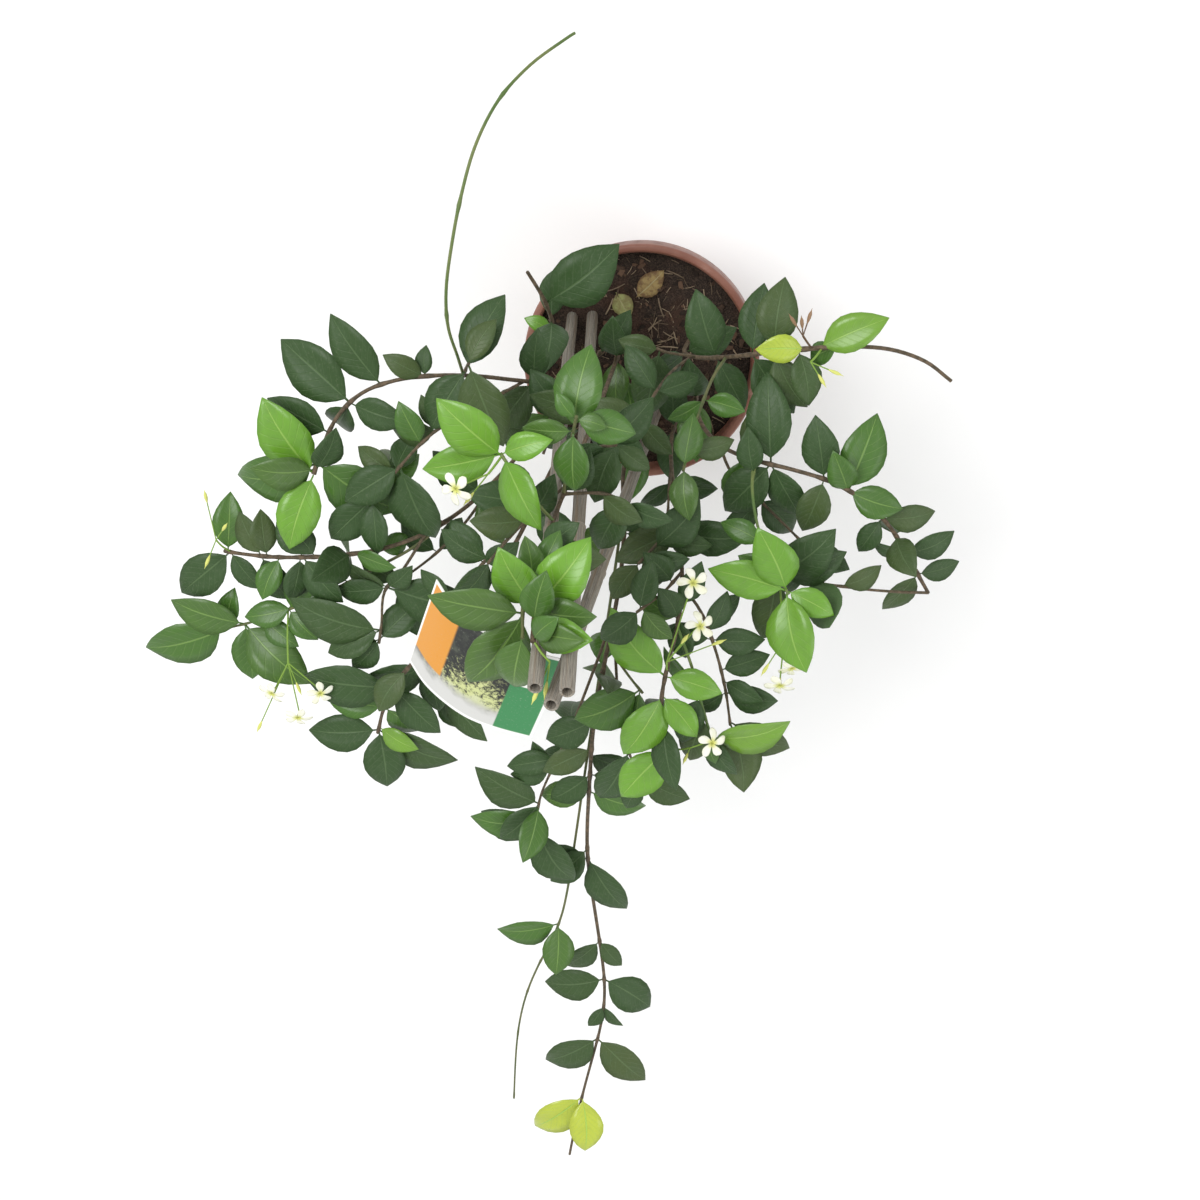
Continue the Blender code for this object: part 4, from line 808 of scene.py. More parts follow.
def push_apart():
    """Move the points of crossing stems, and of stems that cross canes, until all are clear."""
    for _ in range(ROUNDS):
        moved = 0
        boxes = []
        for item in LINES:
            for number in range(len(item["line"]) - 1):
                a = item["line"][number]
                b = item["line"][number + 1]
                boxes.append((item, number, (a + b) / 2, (a - b).length / 2))
        for first in range(len(boxes)):
            item, number, centre, reach = boxes[first]
            for high, low in CANE_ENDS.values():
                a, b = segment_gap(item["line"][number], item["line"][number + 1], high, low)
                need = item["radius"] + CANE_RADIUS + CANE_CLEAR
                away = a - b
                if away.length < need and number >= item["free"] - 1:
                    shift = away.normalized() * (need - away.length + EXTRA_PUSH)
                    shove(item, number, shift)
                    moved += 1
            for second in range(first + 1, len(boxes)):
                other, other_number, other_centre, other_reach = boxes[second]
                if other["stem"] == item["stem"]:
                    continue
                need = item["radius"] + other["radius"] + STEM_CLEAR
                if (centre - other_centre).length > reach + other_reach + need:
                    continue
                a, b = segment_gap(item["line"][number], item["line"][number + 1],
                                   other["line"][other_number], other["line"][other_number + 1])
                away = a - b
                if away.length >= need:
                    continue
                if away.length < 1e-6:
                    away = Vector((0.0, 0.0, 1e-6))
                shift = away.normalized() * ((need - away.length) / 2 + EXTRA_PUSH)
                shove(item, number, shift)
                shove(other, other_number, -shift)
                moved += 1
        for item in LINES:
            line = item["line"]
            if item["parent"] is not None:
                parent, start = item["parent"]
                line[0] = LINES[parent]["line"][start].copy()
            smoothed = [point.copy() for point in line]
            for number in range(max(2, item["free"]), len(line) - 1):
                smoothed[number] = line[number] * 0.8 + (line[number - 1] + line[number + 1]) * 0.1
            if moved:
                item["line"] = smoothed
        if moved == 0:
            return


push_apart()
print("stems pushed clear of each other")

# %% [markdown]
# The pushed lines have more points than a tube needs, so they are thinned out. Each line then becomes a
# tube that grows thinner to its tip, with five sides for a main stem and four for a shoot.

# %% A tube along each line
TUBE_STEP = 0.026


def thin_out(line, spacing, free):
    """The numbers of a line's points that are about this far apart, with both ends and its foot."""
    kept = [0] if free == 1 else [0, 1]
    for number in range(kept[-1] + 1, len(line) - 1):
        if (line[number] - line[kept[-1]]).length >= spacing:
            kept.append(number)
    kept.append(len(line) - 1)
    return kept


def on_line(item, spot):
    """The point of a stem's own line that is nearest to a spot."""
    best = None
    for a, b in zip(item["line"], item["line"][1:]):
        point, share = intersect_point_line(spot, a, b)
        point = a.lerp(b, min(1.0, max(0.0, share)))
        if best is None or (point - spot).length < (best - spot).length:
            best = point
    return best


TUBES = []
for item in LINES:
    if item["parent"] is not None:
        item["line"][0] = on_line(LINES[item["parent"][0]], item["line"][0])
    kept = thin_out(item["line"], TUBE_STEP, item["free"])
    line = [item["line"][number] for number in kept]
    last = len(item["line"]) - 1
    radii = [item["radius"] * (1 - (1 - item["thin"]) * number / last) for number in kept]
    item["line"] = line
    points, faces = tube_parts(line, radii, 5 if item["parent"] is None else 4)
    TUBES.append({"stem": item["stem"], "tree": tree_of(points, faces)})

print(len(TUBES), "tubes laid out")

# %% [markdown]
# Leaves also keep off the pot, the soil, the canes and the card. Those solids are already in the frame, so
# their own meshes are what is tested. The card's slope is found here too: it leans on a cane, so its short
# side is made longer, step by step, until it would touch.

# %% What the leaves keep clear of
edge = smooth_route([seen(place) for place in LABEL_EDGE], 0.017)


def label_parts(rise):
    """The bent card: points and faces."""
    points = []
    for step in (0.0, 1.0):
        for number, place in enumerate(edge):
            ahead = edge[min(number + 1, len(edge) - 1)] - edge[max(number - 1, 0)]
            face = ahead.cross(rise).normalized()
            for level in (-0.5, 0.5):
                points.append(place + rise * step + face * (LABEL_THICK * level))
    faces = []
    size = 2 * len(edge)
    for number in range(len(edge) - 1):
        a = 2 * number
        faces += [(a, a + 2, a + 2 + size), (a, a + 2 + size, a + size)]
        faces += [(a + 1, a + 3 + size, a + 3), (a + 1, a + 1 + size, a + 3 + size)]
        faces += [(a, a + 1, a + 3), (a, a + 3, a + 2)]
        faces += [(a + size, a + 3 + size, a + 1 + size), (a + size, a + 2 + size, a + 3 + size)]
    for a in (0, 2 * (len(edge) - 1)):
        faces += [(a, a + size, a + 1 + size), (a, a + 1 + size, a + 1)]
    return points, faces


high, low = CANE_ENDS["cane_c"]
reach = low.lerp(high, (LEAN_HEIGHT - low.z) / (high.z - low.z)) - edge[-1]
fat_cane = tree_of(*tube_parts([low, high], [CANE_RADIUS + 0.0008] * 2, 24))
growth = 0.80
GROWTH_STEP = 0.002
while growth < 1.1 and not fat_cane.overlap(tree_of(*label_parts(reach * (growth + GROWTH_STEP)))):
    growth += GROWTH_STEP
LABEL_RISE = reach * growth


def tree_from(thing):
    """The search tree of an object that is already in the scene."""
    mesh = thing.data
    return tree_of([vertex.co for vertex in mesh.vertices], [tuple(face.vertices) for face in mesh.polygons])


SOLIDS = [tree_from(frame["nodes"][name]) for name in ("pot", "soil", "picture_label", *CANES)]
print(len(SOLIDS), "solids to keep clear of")

# %% [markdown]
# A leaf is kept as a few numbers: its root and tip, which way its face looks, and how wide, bowed and
# folded it is. Seeded chance makes no two alike, in the same way each time.

# %% One leaf as numbers
LEAVES = []
STAND_OFF = 0.0007


def make_leaf(stem, root, tip, tone, spin):
    """A leaf from root to tip. The larger the spin, the more its face may lean."""
    way = tip - root
    root = root + way.normalized() * STAND_OFF
    up = Vector((0.0, 0.0, 1.0)) + Vector((chance.uniform(-spin, spin), chance.uniform(-spin, spin), 0.0))
    if abs(way.normalized().dot(up.normalized())) > 0.93:
        up = Vector((0.0, 1.0, 0.3))
    return {"stem": stem, "root": root, "tip": tip, "tone": tone, "up": up.normalized(),
            "width": way.length * LEAF_SHAPE * chance.uniform(0.92, 1.10), "thick": LEAF_THICK,
            "bow": chance.uniform(0.03, 0.09), "fold": chance.uniform(0.10, 0.28)}


def turned(leaf, yaw, pitch, roll, scale):
    """A copy of a leaf, swung, tipped and rolled about its own root, and scaled."""
    way = leaf["tip"] - leaf["root"]
    side = way.cross(leaf["up"]).normalized()
    spin = Matrix.Rotation(math.radians(yaw), 3, "Z") @ Matrix.Rotation(math.radians(pitch), 3, side)
    new_way = spin @ way
    new_up = Matrix.Rotation(math.radians(roll), 3, new_way.normalized()) @ (spin @ leaf["up"])
    fresh = dict(leaf)
    fresh["tip"] = leaf["root"] + new_way * scale
    fresh["width"] = leaf["width"] * scale
    fresh["up"] = new_up
    return fresh


print("a leaf is", math.ceil(LEAF_LONGEST * 1000), "mm long at most")

# %% [markdown]
# Each leaf is first tried where it was seen. If it would touch something, it is tipped, rolled or swung a
# little, in a fixed order, and only made smaller when no turn helps.

# %% Whether a leaf is clear
SAME_JOINT = 0.008
NEAR_FLOOR = 0.004


def clear_of_all(leaf):
    """Whether a leaf keeps its distance from every solid, stem and leaf placed so far."""
    middle = (leaf["root"] + leaf["tip"]) / 2
    reach = (leaf["tip"] - leaf["root"]).length / 2 + 0.004
    if leaf["tip"].z < NEAR_FLOOR:
        return False
    whole = tree_of(*blade_parts(leaf, LEAF_CLEAR))
    bare = tree_of(*blade_parts(leaf, LEAF_CLEAR_NEAR, True))
    if any(solid.overlap(whole) for solid in SOLIDS):
        return False
    for tube in TUBES:
        if tube["tree"].overlap(bare if tube["stem"] == leaf["stem"] else whole):
            return False
    for other in LEAVES:
        if (other["middle"] - middle).length > reach + other["reach"]:
            continue
        paired = other["stem"] == leaf["stem"] and (other["root"] - leaf["root"]).length < SAME_JOINT
        if other["bare"].overlap(bare) if paired else other["tree"].overlap(whole):
            return False
    leaf["middle"] = middle
    leaf["reach"] = reach
    leaf["tree"] = tree_of(*blade_parts(leaf))
    leaf["bare"] = tree_of(*blade_parts(leaf, 0.0, True))
    return True


# Swing, lean and roll of each try, in degrees
TRIES = [(0, 0, 0)]
TRIES += [(0, lean, roll) for lean in (8, -8, 16, -16, 25, -25, 35, -35) for roll in (0, 22, -22)]
TRIES += [(swing, lean, 0) for swing in (7, -7, 14, -14) for lean in (0, 10, -10, 22, -22, 34)]


def place_leaf(leaf, sizes, swing=1.0):
    """Turn a leaf until it is clear, then keep it. A leaf that never is clear is left out."""
    for scale in sizes:
        for yaw, pitch, roll in TRIES:
            fresh = turned(leaf, yaw * swing, pitch, roll, scale)
            if clear_of_all(fresh):
                LEAVES.append(fresh)
                return True
    return False


print(len(TRIES), "tries for each size of a leaf")

# %% [markdown]
# The leaves that the photograph shows come first, from the highest joint down, so that they get the places
# that they ask for. The photograph doesn't say how much a tip hangs below its joint, so chance picks that,
# within what suits its age: an old leaf hangs and a young one lifts.

# %% Leaves that the photograph shows
# The least and the most rise of a tip over its joint, as a share of the leaf's length
LIFT = {"old": (-0.28, 0.10), "mid": (-0.16, 0.16), "young": (-0.06, 0.22), "lime": (-0.20, 0.05)}
order = sorted(range(len(SHOOT_JOINTS)), key=lambda number: -SHOOT_JOINTS[number][3].z)
for number in order:
    stem, line_index, tone, spot, tips = SHOOT_JOINTS[number]
    root = on_line(LINES[line_index], spot)
    for across, down in tips:
        flat = seen((across, down, root.z))
        low, high = LIFT[tone]
        rise = chance.uniform(low, high) * (flat - root).length
        tip = seen((across, down, root.z + rise))
        length = (tip - root).length
        if length > LEAF_LONGEST:
            tip = root + (tip - root) * (LEAF_LONGEST / length)
        place_leaf(make_leaf(stem, root, tip, tone, 0.30), (1.0, 0.88, 0.76))
print(len(LEAVES), "leaves where the photograph shows them")

# %% [markdown]
# A bunch of flowers hangs on one forked stalk. Its heads are where the photograph shows them. The plain
# shapes below are those of the solid model, and show whether a bunch is clear.

# %% Plain flower bunches
PLATE_THICK = 0.0009
PETAL_RIM = ((-0.30, 0.15, 0.0), (-0.14, 0.46, 0.001), (0.26, 0.52, -0.001))
HEAD_UP = Vector((0.0, 0.1, 1.2))
THROAT_LENGTH = 0.0065
SAG = Vector((0.0, 0.0, 0.002))


def flower_parts(centre, facing, span):
    """A pinwheel of five blades as one plate: points and faces."""
    facing = facing.normalized()
    side = facing.orthogonal().normalized()
    other = facing.cross(side)
    rim = []
    for petal in range(5):
        for turn, reach, lift in PETAL_RIM:
            angle = 2 * math.pi * petal / 5 + turn * 1.35
            out = side * math.cos(angle) + other * math.sin(angle)
            rim.append(centre + out * (reach * span) + facing * lift)
    points = [centre] + rim
    points += [point - facing * PLATE_THICK for point in points]
    count = len(rim)
    faces = []
    for number in range(count):
        following = (number + 1) % count
        faces.append((0, 1 + number, 1 + following))
        faces.append((count + 1, count + 2 + following, count + 2 + number))
        faces.append((1 + number, count + 2 + number, count + 2 + following))
        faces.append((1 + number, count + 2 + following, 1 + following))
    return points, faces


def bunch_parts(foot, knot, heads):
    """The stalk of a bunch, and its open flowers and closed buds."""
    middle = foot.lerp(knot, 0.5) + SAG
    beyond = knot + (knot - middle).normalized() * 0.001
    parts = [tube_parts([foot, middle, knot, beyond], [0.0009, 0.0009, 0.0010, 0.0010], 4)]
    for centre, span in heads:
        way = (centre - knot).normalized()
        if span:
            facing = (way + HEAD_UP).normalized()
            throat = [knot, centre - facing * THROAT_LENGTH, centre - facing * 0.0004]
            parts.append(tube_parts(throat, [0.0008, 0.0011, 0.0016], 5))
            parts.append(flower_parts(centre, facing, span))
        else:
            ends = [centre + way * (BUD_LENGTH * share) for share in (-0.5, 0.2, 0.8)]
            parts.append(tube_parts([knot] + ends, [0.0007, 0.0009, 0.0017, 0.0006], 4))
    return parts


def bunch_is_clear(parts):
    """Whether no part of a bunch cuts a solid, a stem or a leaf."""
    trees = SOLIDS + [thing["tree"] for thing in TUBES + LEAVES]
    probes = [tree_of(points, faces) for points, faces in parts]
    return not any(tree.overlap(probe) for probe in probes for tree in trees)


print("a plain flower head has", len(flower_parts(EYE, HEAD_UP, 1.0)[1]), "triangles")

# %% [markdown]
# The foot of each bunch meets the twig that bears it. Points near the listed place are tried in turn,
# nearest first, with the fork swung a little to each side, and then the whole bunch a little higher, until
# it is clear.

# %% Bunches seated on their twigs
FORK_SWING = 0.007
FOOT_GAP = 0.0005


def places_on(stem, want):
    """Points on a stem and its shoots, nearest first to the wanted one, each with its tube's tree."""
    spots = []
    for item, tube in zip(LINES, TUBES):
        if item["stem"] == stem:
            for a, b in zip(item["line"], item["line"][1:]):
                for share in (0.15, 0.4, 0.65, 0.9):
                    point = a.lerp(b, share)
                    spots.append(((point - want).length, len(spots), point, tube["tree"]))
    return sorted(spots, key=lambda spot: spot[:2])


def seated(start, fork, heads):
    """The first clear way to seat a bunch: its foot, its fork and its heads, and its parts."""
    spots = places_on(start[0], seen(start[1:]))
    for rise in (0.0, 0.006, 0.012, 0.018, 0.024, 0.030):
        lift = Vector((0.0, 0.0, rise))
        for _, _, point, tree in spots[:14]:
            for swing in ((0, 0), (1, 0), (-1, 0), (0, 1), (0, -1)):
                knot = seen(fork) + Vector((swing[0] * FORK_SWING, swing[1] * FORK_SWING, rise))
                away = (knot - point).normalized()
                hit = tree.ray_cast(knot, -away)[0]
                if hit is None:
                    continue
                foot = hit + away * FOOT_GAP
                shape = (foot, knot, [(seen(head[:3]) + lift, head[3] / 1000) for head in heads])
                parts = bunch_parts(*shape)
                if bunch_is_clear(parts):
                    return shape, parts
    return None, []


BUNCH_SHAPES = {}
for name, bunch in BUNCHES.items():
    shape, parts = seated(*bunch)
    if shape:
        BUNCH_SHAPES[name] = shape
    SOLIDS += [tree_of(points, faces) for points, faces in parts]
print(len(BUNCH_SHAPES), "bunches seated")

# %% [markdown]
# The inner leaves are hidden in the photograph, but the plant would look hollow from the side without them.
# They are set in pairs along each stem, wherever no leaf grows yet, and only near the middle of the
# thicket.

# %% Inner leaves
THICKET = Vector((-0.03, -0.10))
THICKET_REACH = 0.24
FILL_SPACING = 0.115
FILL_STEP = 0.009
LEAF_APART = 0.017

for item in LINES:
    if item["radius"] == WHIP_RADIUS:
        continue
    quarter = 0
    since = 0.0
    for a, b in zip(item["line"], item["line"][1:]):
        pieces = max(1, round((b - a).length / FILL_STEP))
        for piece in range(pieces):
            spot = a.lerp(b, (piece + 0.5) / pieces)
            since += (b - a).length / pieces
            if spot.z < LOWEST_LEAF or since < FILL_SPACING or (spot.xy - THICKET).length > THICKET_REACH:
                continue
            own = [leaf["root"] for leaf in LEAVES if leaf["stem"] == item["stem"]]
            if any((root - spot).length < LEAF_APART for root in own):
                continue
            since = 0.0
            quarter += 1
            way = (b - a).normalized()
            side = way.cross(Vector((0.0, 0.0, 1.0)))
            if side.length < 0.2:
                side = Vector((1.0, 0.0, 0.0))
            side.normalize()
            if quarter % 2:
                side = way.cross(side).normalized()
            for sign in (1, -1):
                reach = LEAF_LENGTH * chance.uniform(0.72, 1.05)
                rise = Vector((0.0, 0.0, chance.uniform(-0.35, 0.15)))
                out = (side * sign + way * 0.35 + rise).normalized()
                tone = "old" if chance.random() < 0.8 else "mid"
                fresh = make_leaf(item["stem"], spot, spot + out * reach, tone, 0.35)
                place_leaf(fresh, (1.0, 0.85, 0.7), 2.0)
print(len(LEAVES), "leaves, with the inner ones")

# %% [markdown]
# The leaves of which only the tip is listed come last. To find a joint for each, every place on a stem is
# looked up in the photograph's own pixels, the other way round from before. A good joint is about one
# leaf's length from the tip in the picture, and high, so that the leaf lies on top of the thicket.

# %% More leaves that the photograph shows
# Nearest and farthest joint in pixels, the best distance, and how much height counts against it
MORE_REACH = (26, 74)
BEST_REACH = 48
HEIGHT_WORTH = 110
JOINTS_TRIED = 24


def pixel_of(point):
    """The pixel at which the photograph shows a point."""
    ray = point - EYE
    depth = -ray.dot(BACKWARD)
    return Vector((PICTURE_MIDDLE + PIXELS_PER_SLOPE * ray.dot(ACROSS) / depth,
                   PICTURE_MIDDLE - PIXELS_PER_SLOPE * ray.dot(UPWARD) / depth))


joints = []
for item in LINES:
    if item["radius"] != WHIP_RADIUS:
        for a, b in zip(item["line"], item["line"][1:]):
            for share in (0.2, 0.5, 0.8):
                spot = a.lerp(b, share)
                joints.append((item["stem"], spot, pixel_of(spot)))
for across, down in MORE_TIPS:
    tip_pixel = Vector((across, down))
    near = []
    for number, (stem, spot, pixel) in enumerate(joints):
        away = (pixel - tip_pixel).length
        if spot.z > LOWEST_LEAF and MORE_REACH[0] < away < MORE_REACH[1]:
            near.append((abs(away - BEST_REACH) - HEIGHT_WORTH * spot.z, number))
    for _, number in sorted(near)[:JOINTS_TRIED]:
        stem, spot, _ = joints[number]
        tip = seen((across, down, spot.z + chance.uniform(-0.012, 0.010)))
        tone = "old" if chance.random() < 0.75 else "mid"
        if place_leaf(make_leaf(stem, spot, tip, tone, 0.30), (1.0, 0.88)):
            break
print(len(LEAVES), "leaves in all")

# %% [markdown]
# The operators of Blender act on what is selected, so each step starts by selecting nothing. These helpers
# do the chores: choose an object, add a primitive, copy a model, or pick faces in edit mode.

# %% Chores


def only(*things):
    """Select these objects and nothing else, and make the first one active."""
    if bpy.context.object and bpy.context.object.mode != "OBJECT":
        bpy.ops.object.mode_set(mode="OBJECT")
    bpy.ops.object.select_all(action="DESELECT")
    for thing in things:
        thing.select_set(True)
    bpy.context.view_layer.objects.active = things[0]


def added(name, add, **sizes):
    """Add a primitive while nothing else is selected, and put its place into its mesh."""
    only(frame["nodes"]["pot"])
    add(**sizes)
    bpy.ops.object.transform_apply(location=True, rotation=True, scale=True)
    bpy.context.object.name = name
    return bpy.context.object


def new_thing(name, data):
    """A new object in the scene."""
    thing = bpy.data.objects.new(name, data)
    bpy.context.scene.collection.objects.link(thing)
    return thing


def own_copy(model, name):
    """A copy of an object, with a mesh of its own."""
    return new_thing(name, model.data.copy())


def pick(thing, kind, wanted):
    """In edit mode, select the vertices or faces whose place a test wants."""
    bpy.ops.object.mode_set(mode="OBJECT")
    only(thing)
    mesh = thing.data
    for group in (mesh.vertices, mesh.edges, mesh.polygons):
        group.foreach_set("select", [False] * len(group))
    group = mesh.vertices if kind == "VERT" else mesh.polygons
    for item in group:
        item.select = wanted(item.co if kind == "VERT" else item.center)
    bpy.ops.object.mode_set(mode="EDIT")
    bpy.ops.mesh.select_mode(type=kind)


def done_editing():
    bpy.ops.object.mode_set(mode="OBJECT")


def apply_all(thing):
    """Apply every modifier of an object, in order."""
    only(thing)
    for step in list(thing.modifiers):
        bpy.ops.object.modifier_apply(modifier=step.name)


def thickened(thing, thickness):
    """Give a flat sheet its thickness, half of it on each side."""
    step = thing.modifiers.new("thickness", "SOLIDIFY")
    step.thickness = thickness
    step.offset = 0.0
    apply_all(thing)


def rod(name, line, depth, radii, resolution):
    """A round rod along a line: a curve with a bevel, turned into a mesh."""
    curve = bpy.data.curves.new(name, "CURVE")
    curve.dimensions = "3D"
    curve.bevel_depth = depth
    curve.bevel_resolution = resolution
    curve.use_fill_caps = True
    spline = curve.splines.new("POLY")
    spline.points.add(len(line) - 1)
    for point, place, radius in zip(spline.points, line, radii):
        point.co = (*place, 1.0)
        point.radius = radius
    only(new_thing(name, curve))
    bpy.ops.object.convert(target="MESH")
    return bpy.context.object


print("chores ready")

# %% [markdown]
# A finished piece is one object with one finish. It rides the root body, since nothing here moves, and it
# takes the place of its solids. Numbers that a finish reads, such as how young a leaf is, are written on
# its vertices.

# %% Handing a piece over


def joined(name, things):
    """One object from several."""
    only(*things)
    bpy.ops.object.join()
    whole = bpy.context.object
    whole.name = name
    whole.data.name = name
    return whole


def finished(thing, material, nodes, angle=None):
    """Give a piece its finish and hand it to the frame in place of its solids.

    It is shaded smooth, all over or only where faces meet at less than the angle in degrees.
    """
    only(thing)
    if angle is None:
        bpy.ops.object.shade_smooth()
    else:
        bpy.ops.object.shade_smooth_by_angle(angle=math.radians(angle))
    thing.data.materials.clear()
    thing.data.materials.append(material)
    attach(thing, "root")
    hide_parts(*nodes)
    thing.data.calc_loop_triangles()
    print(thing.name, len(thing.data.loop_triangles), "triangles")


def tag(thing, **values):
    """Write a number on every vertex, or a list with one for each, under each name."""
    for name, value in values.items():
        layer = thing.data.attributes.get(name) or thing.data.attributes.new(name, "FLOAT", "POINT")
        many = value if isinstance(value, list) else [value] * len(thing.data.vertices)
        layer.data.foreach_set("value", many)


print("pieces can be handed over")

# %% [markdown]
# One leaf is modelled and all the others are copies of it. A grid gives rows across the blade; each row is
# scaled to the leaf's outline, from the thin stalk through the broad middle to the pointed tip. A Solidify
# step gives it a back, so that it can be paler underneath. The blade lies along +X and is one long and one
# wide, which makes it easy to lay on any twig.

# %% One leaf, to be copied
# Rows: how far along the blade, and how wide there
LEAF_OUTLINE = (
    (0.0, 0.035), (0.07, 0.045), (0.12, 0.30), (0.20, 0.62), (0.31, 0.88), (0.44, 1.0), (0.58, 0.96),
    (0.71, 0.79), (0.83, 0.54), (0.93, 0.24), (1.0, 0.015),
)
LEAF_MODEL_THICK = 0.010

leaf_model = added("leaf_model", bpy.ops.mesh.primitive_grid_add, x_subdivisions=len(LEAF_OUTLINE) - 1,
                   y_subdivisions=4, size=1.0, location=(0.5, 0.0, 0.0))
rows = sorted({round(vertex.co.x, 4) for vertex in leaf_model.data.vertices})
for old_x, (_, wide) in zip(rows, LEAF_OUTLINE):
    pick(leaf_model, "VERT", lambda place, x=old_x: abs(place.x - x) < 0.001)
    bpy.ops.transform.resize(value=(1.0, wide, 1.0), center_override=(0.0, 0.0, 0.0))
    done_editing()
for vertex in leaf_model.data.vertices:
    row = min(range(len(rows)), key=lambda number: abs(rows[number] - vertex.co.x))
    vertex.co.x = LEAF_OUTLINE[row][0]
sheet_of = leaf_model.data.uv_layers.active.data
for loop in leaf_model.data.loops:
    spot = leaf_model.data.vertices[loop.vertex_index].co
    row = min(LEAF_OUTLINE, key=lambda entry: abs(entry[0] - spot.x))
    sheet_of[loop.index].uv = (spot.x, 0.5 + 0.5 * spot.y / (0.5 * row[1]))
thickened(leaf_model, LEAF_MODEL_THICK)
print("one leaf:", len(leaf_model.data.polygons), "faces")

# %% [markdown]
# Laying a leaf on its twig bends it: it folds along its midrib, bows from stalk to tip, droops at the tip
# and its edges wave a little. The bend uses the same numbers as the plain blade, so it stays on it, and no
# tip reaches past the box that holds the solid model.

# %% Laying a leaf in its place
TONE_VALUE = {"old": 0.0, "mid": 0.42, "young": 0.75, "lime": 1.0, "dry": 1.0}
DROOP_FROM = 0.6
THICK_SCALE = 0.045
flutter = random.Random(SEED + 5)


def lay_leaf(leaf, name, wave=0.012):
    """A copy of the leaf model, bent into the place of one leaf."""
    way = leaf["tip"] - leaf["root"]
    length = way.length
    way = way / length
    across = leaf["up"].cross(way).normalized()
    face = way.cross(across)
    thing = own_copy(leaf_model, name)
    phase = flutter.uniform(0.0, 6.28)
    lean = flutter.uniform(-0.05, 0.05)
    under = []
    for vertex in thing.data.vertices:
        along, side, level = vertex.co
        under.append(0.0 if level > 0 else 1.0)
        reach = side * leaf["width"]
        lift = leaf["bow"] * length * math.sin(math.pi * along)
        lift += leaf["fold"] * abs(reach) * (1.0 - 0.35 * abs(side))
        lift += wave * length * math.sin(along * 11.0 + phase) * abs(side) * 1.4
        lift -= 0.045 * length * max(0.0, along - DROOP_FROM) ** 2 / 0.16
        bend = lean * length * math.sin(math.pi * along)
        spot = leaf["root"] + way * (along * length) + across * (reach + bend) + face * lift
        spot += face * (level * THICK_SCALE)
        vertex.co = [min(max(value, low), high) for value, low, high in zip(spot, *cad_box)]
    tag(thing, under=under, tone=TONE_VALUE[leaf["tone"]], luck=flutter.random())
    return thing


print("a leaf can be laid on any twig")

# %% [markdown]
# The leaf finish reads two maps. Along and across the blade it draws a pale midrib and side veins that run
# out to the edge; over the whole plant, noise makes the old leaves patchy and dusty. A number on each leaf
# says how young it is, from dark blue-green to bright green and lime, and another makes no two alike. Young
# leaves are the glossiest, and the highest leaves are always young.

# %% Leaf finish
YOUNG_FROM = 0.55
# The leaf's colour from old to lime
AGE_COLOURS = (
    (0.0, (0.032, 0.070, 0.019)), (0.22, (0.048, 0.098, 0.020)), (0.45, (0.058, 0.150, 0.018)),
    (0.78, (0.140, 0.325, 0.026)), (1.0, (0.440, 0.520, 0.050)),
)
SIDE_VEINS = 9.0
VEIN_SLANT = 2.3
FULL_TURN = 6.2832

for leaf in LEAVES:
    if leaf["root"].z > YOUNG_FROM and leaf["tone"] == "old":
        leaf["tone"] = "mid"


def leaf_finish():
    finish = Finish("leaf", Specular_IOR_Level=0.32, Coat_Roughness=0.22)
    u, v, _ = finish.parts(finish.place("UV"))
    edge = abs(v - 0.5) * 2.0
    tone = finish.value("tone")
    luck = finish.value("luck")
    under = finish.value("under")
    here = finish.place("Object")
    patches = finish.noise(here, 60.0, 3.0, 0.6)
    dust = finish.noise(here, 420.0, 3.0, 0.7)
    green = finish.ramp(tone + (luck - 0.5) * 0.10, *AGE_COLOURS)
    olive_share = finish.fade(luck, 0.62, 0.98) * (1.0 - tone) * 0.7
    olive = finish.mix(olive_share, green, (0.070, 0.098, 0.030))
    mottle_share = finish.fade(patches, 0.42, 0.70) * (0.35 - tone * 0.25)
    mottled = finish.mix(mottle_share, olive, (0.050, 0.092, 0.036))
    dust_share = finish.fade(dust, 0.52, 0.74) * (0.22 - tone * 0.22).most(0.0)
    greyed = finish.mix(dust_share, mottled, (0.165, 0.195, 0.120))
    midrib = (1.0 - finish.fade(edge, 0.020, 0.070 - 0.02 * u)) * (0.55 + tone * 0.45)
    lines = (u * SIDE_VEINS - edge * VEIN_SLANT) * FULL_TURN
    veins = finish.fade(lines.sine(), 0.86, 1.0)
    veins = veins * finish.fade(edge, 0.04, 0.12) * (1.0 - finish.fade(edge, 0.80, 0.98))
    pale = finish.mix(tone, (0.120, 0.190, 0.080), (0.330, 0.560, 0.090))
    veined = finish.mix(midrib * 0.75 + veins * 0.16, greyed, pale)
    back = finish.mix(0.50, veined, (0.120, 0.210, 0.080))
    colour = finish.mix(under, veined, back)
    gloss = 0.46 - tone * 0.16 + (patches - 0.5) * 0.25 + under * 0.15
    relief = veins * -0.35 - midrib * 0.8 + patches * 0.5 + dust * 0.08
    return finish.done(colour, gloss, relief, 0.55, 0.0012, Coat_Weight=(tone * 0.5).least(0.4))


leaf_look = leaf_finish()
print("leaf finish made")

# %% [markdown]
# Twigs are curves with a round bevel: thick and woody at the foot, thin and green at the tip, and swollen a
# little at each joint, where the leaves sit. A curve keeps its roundness as it bends, and becomes a mesh at
# the end.

# %% How a twig is made
TWIG_STEP = 0.006
TWIG_SLIM = 0.94
WHIP_JOINTS = 0.084
SWELLING = 0.40
SWELLING_LENGTH = 0.004


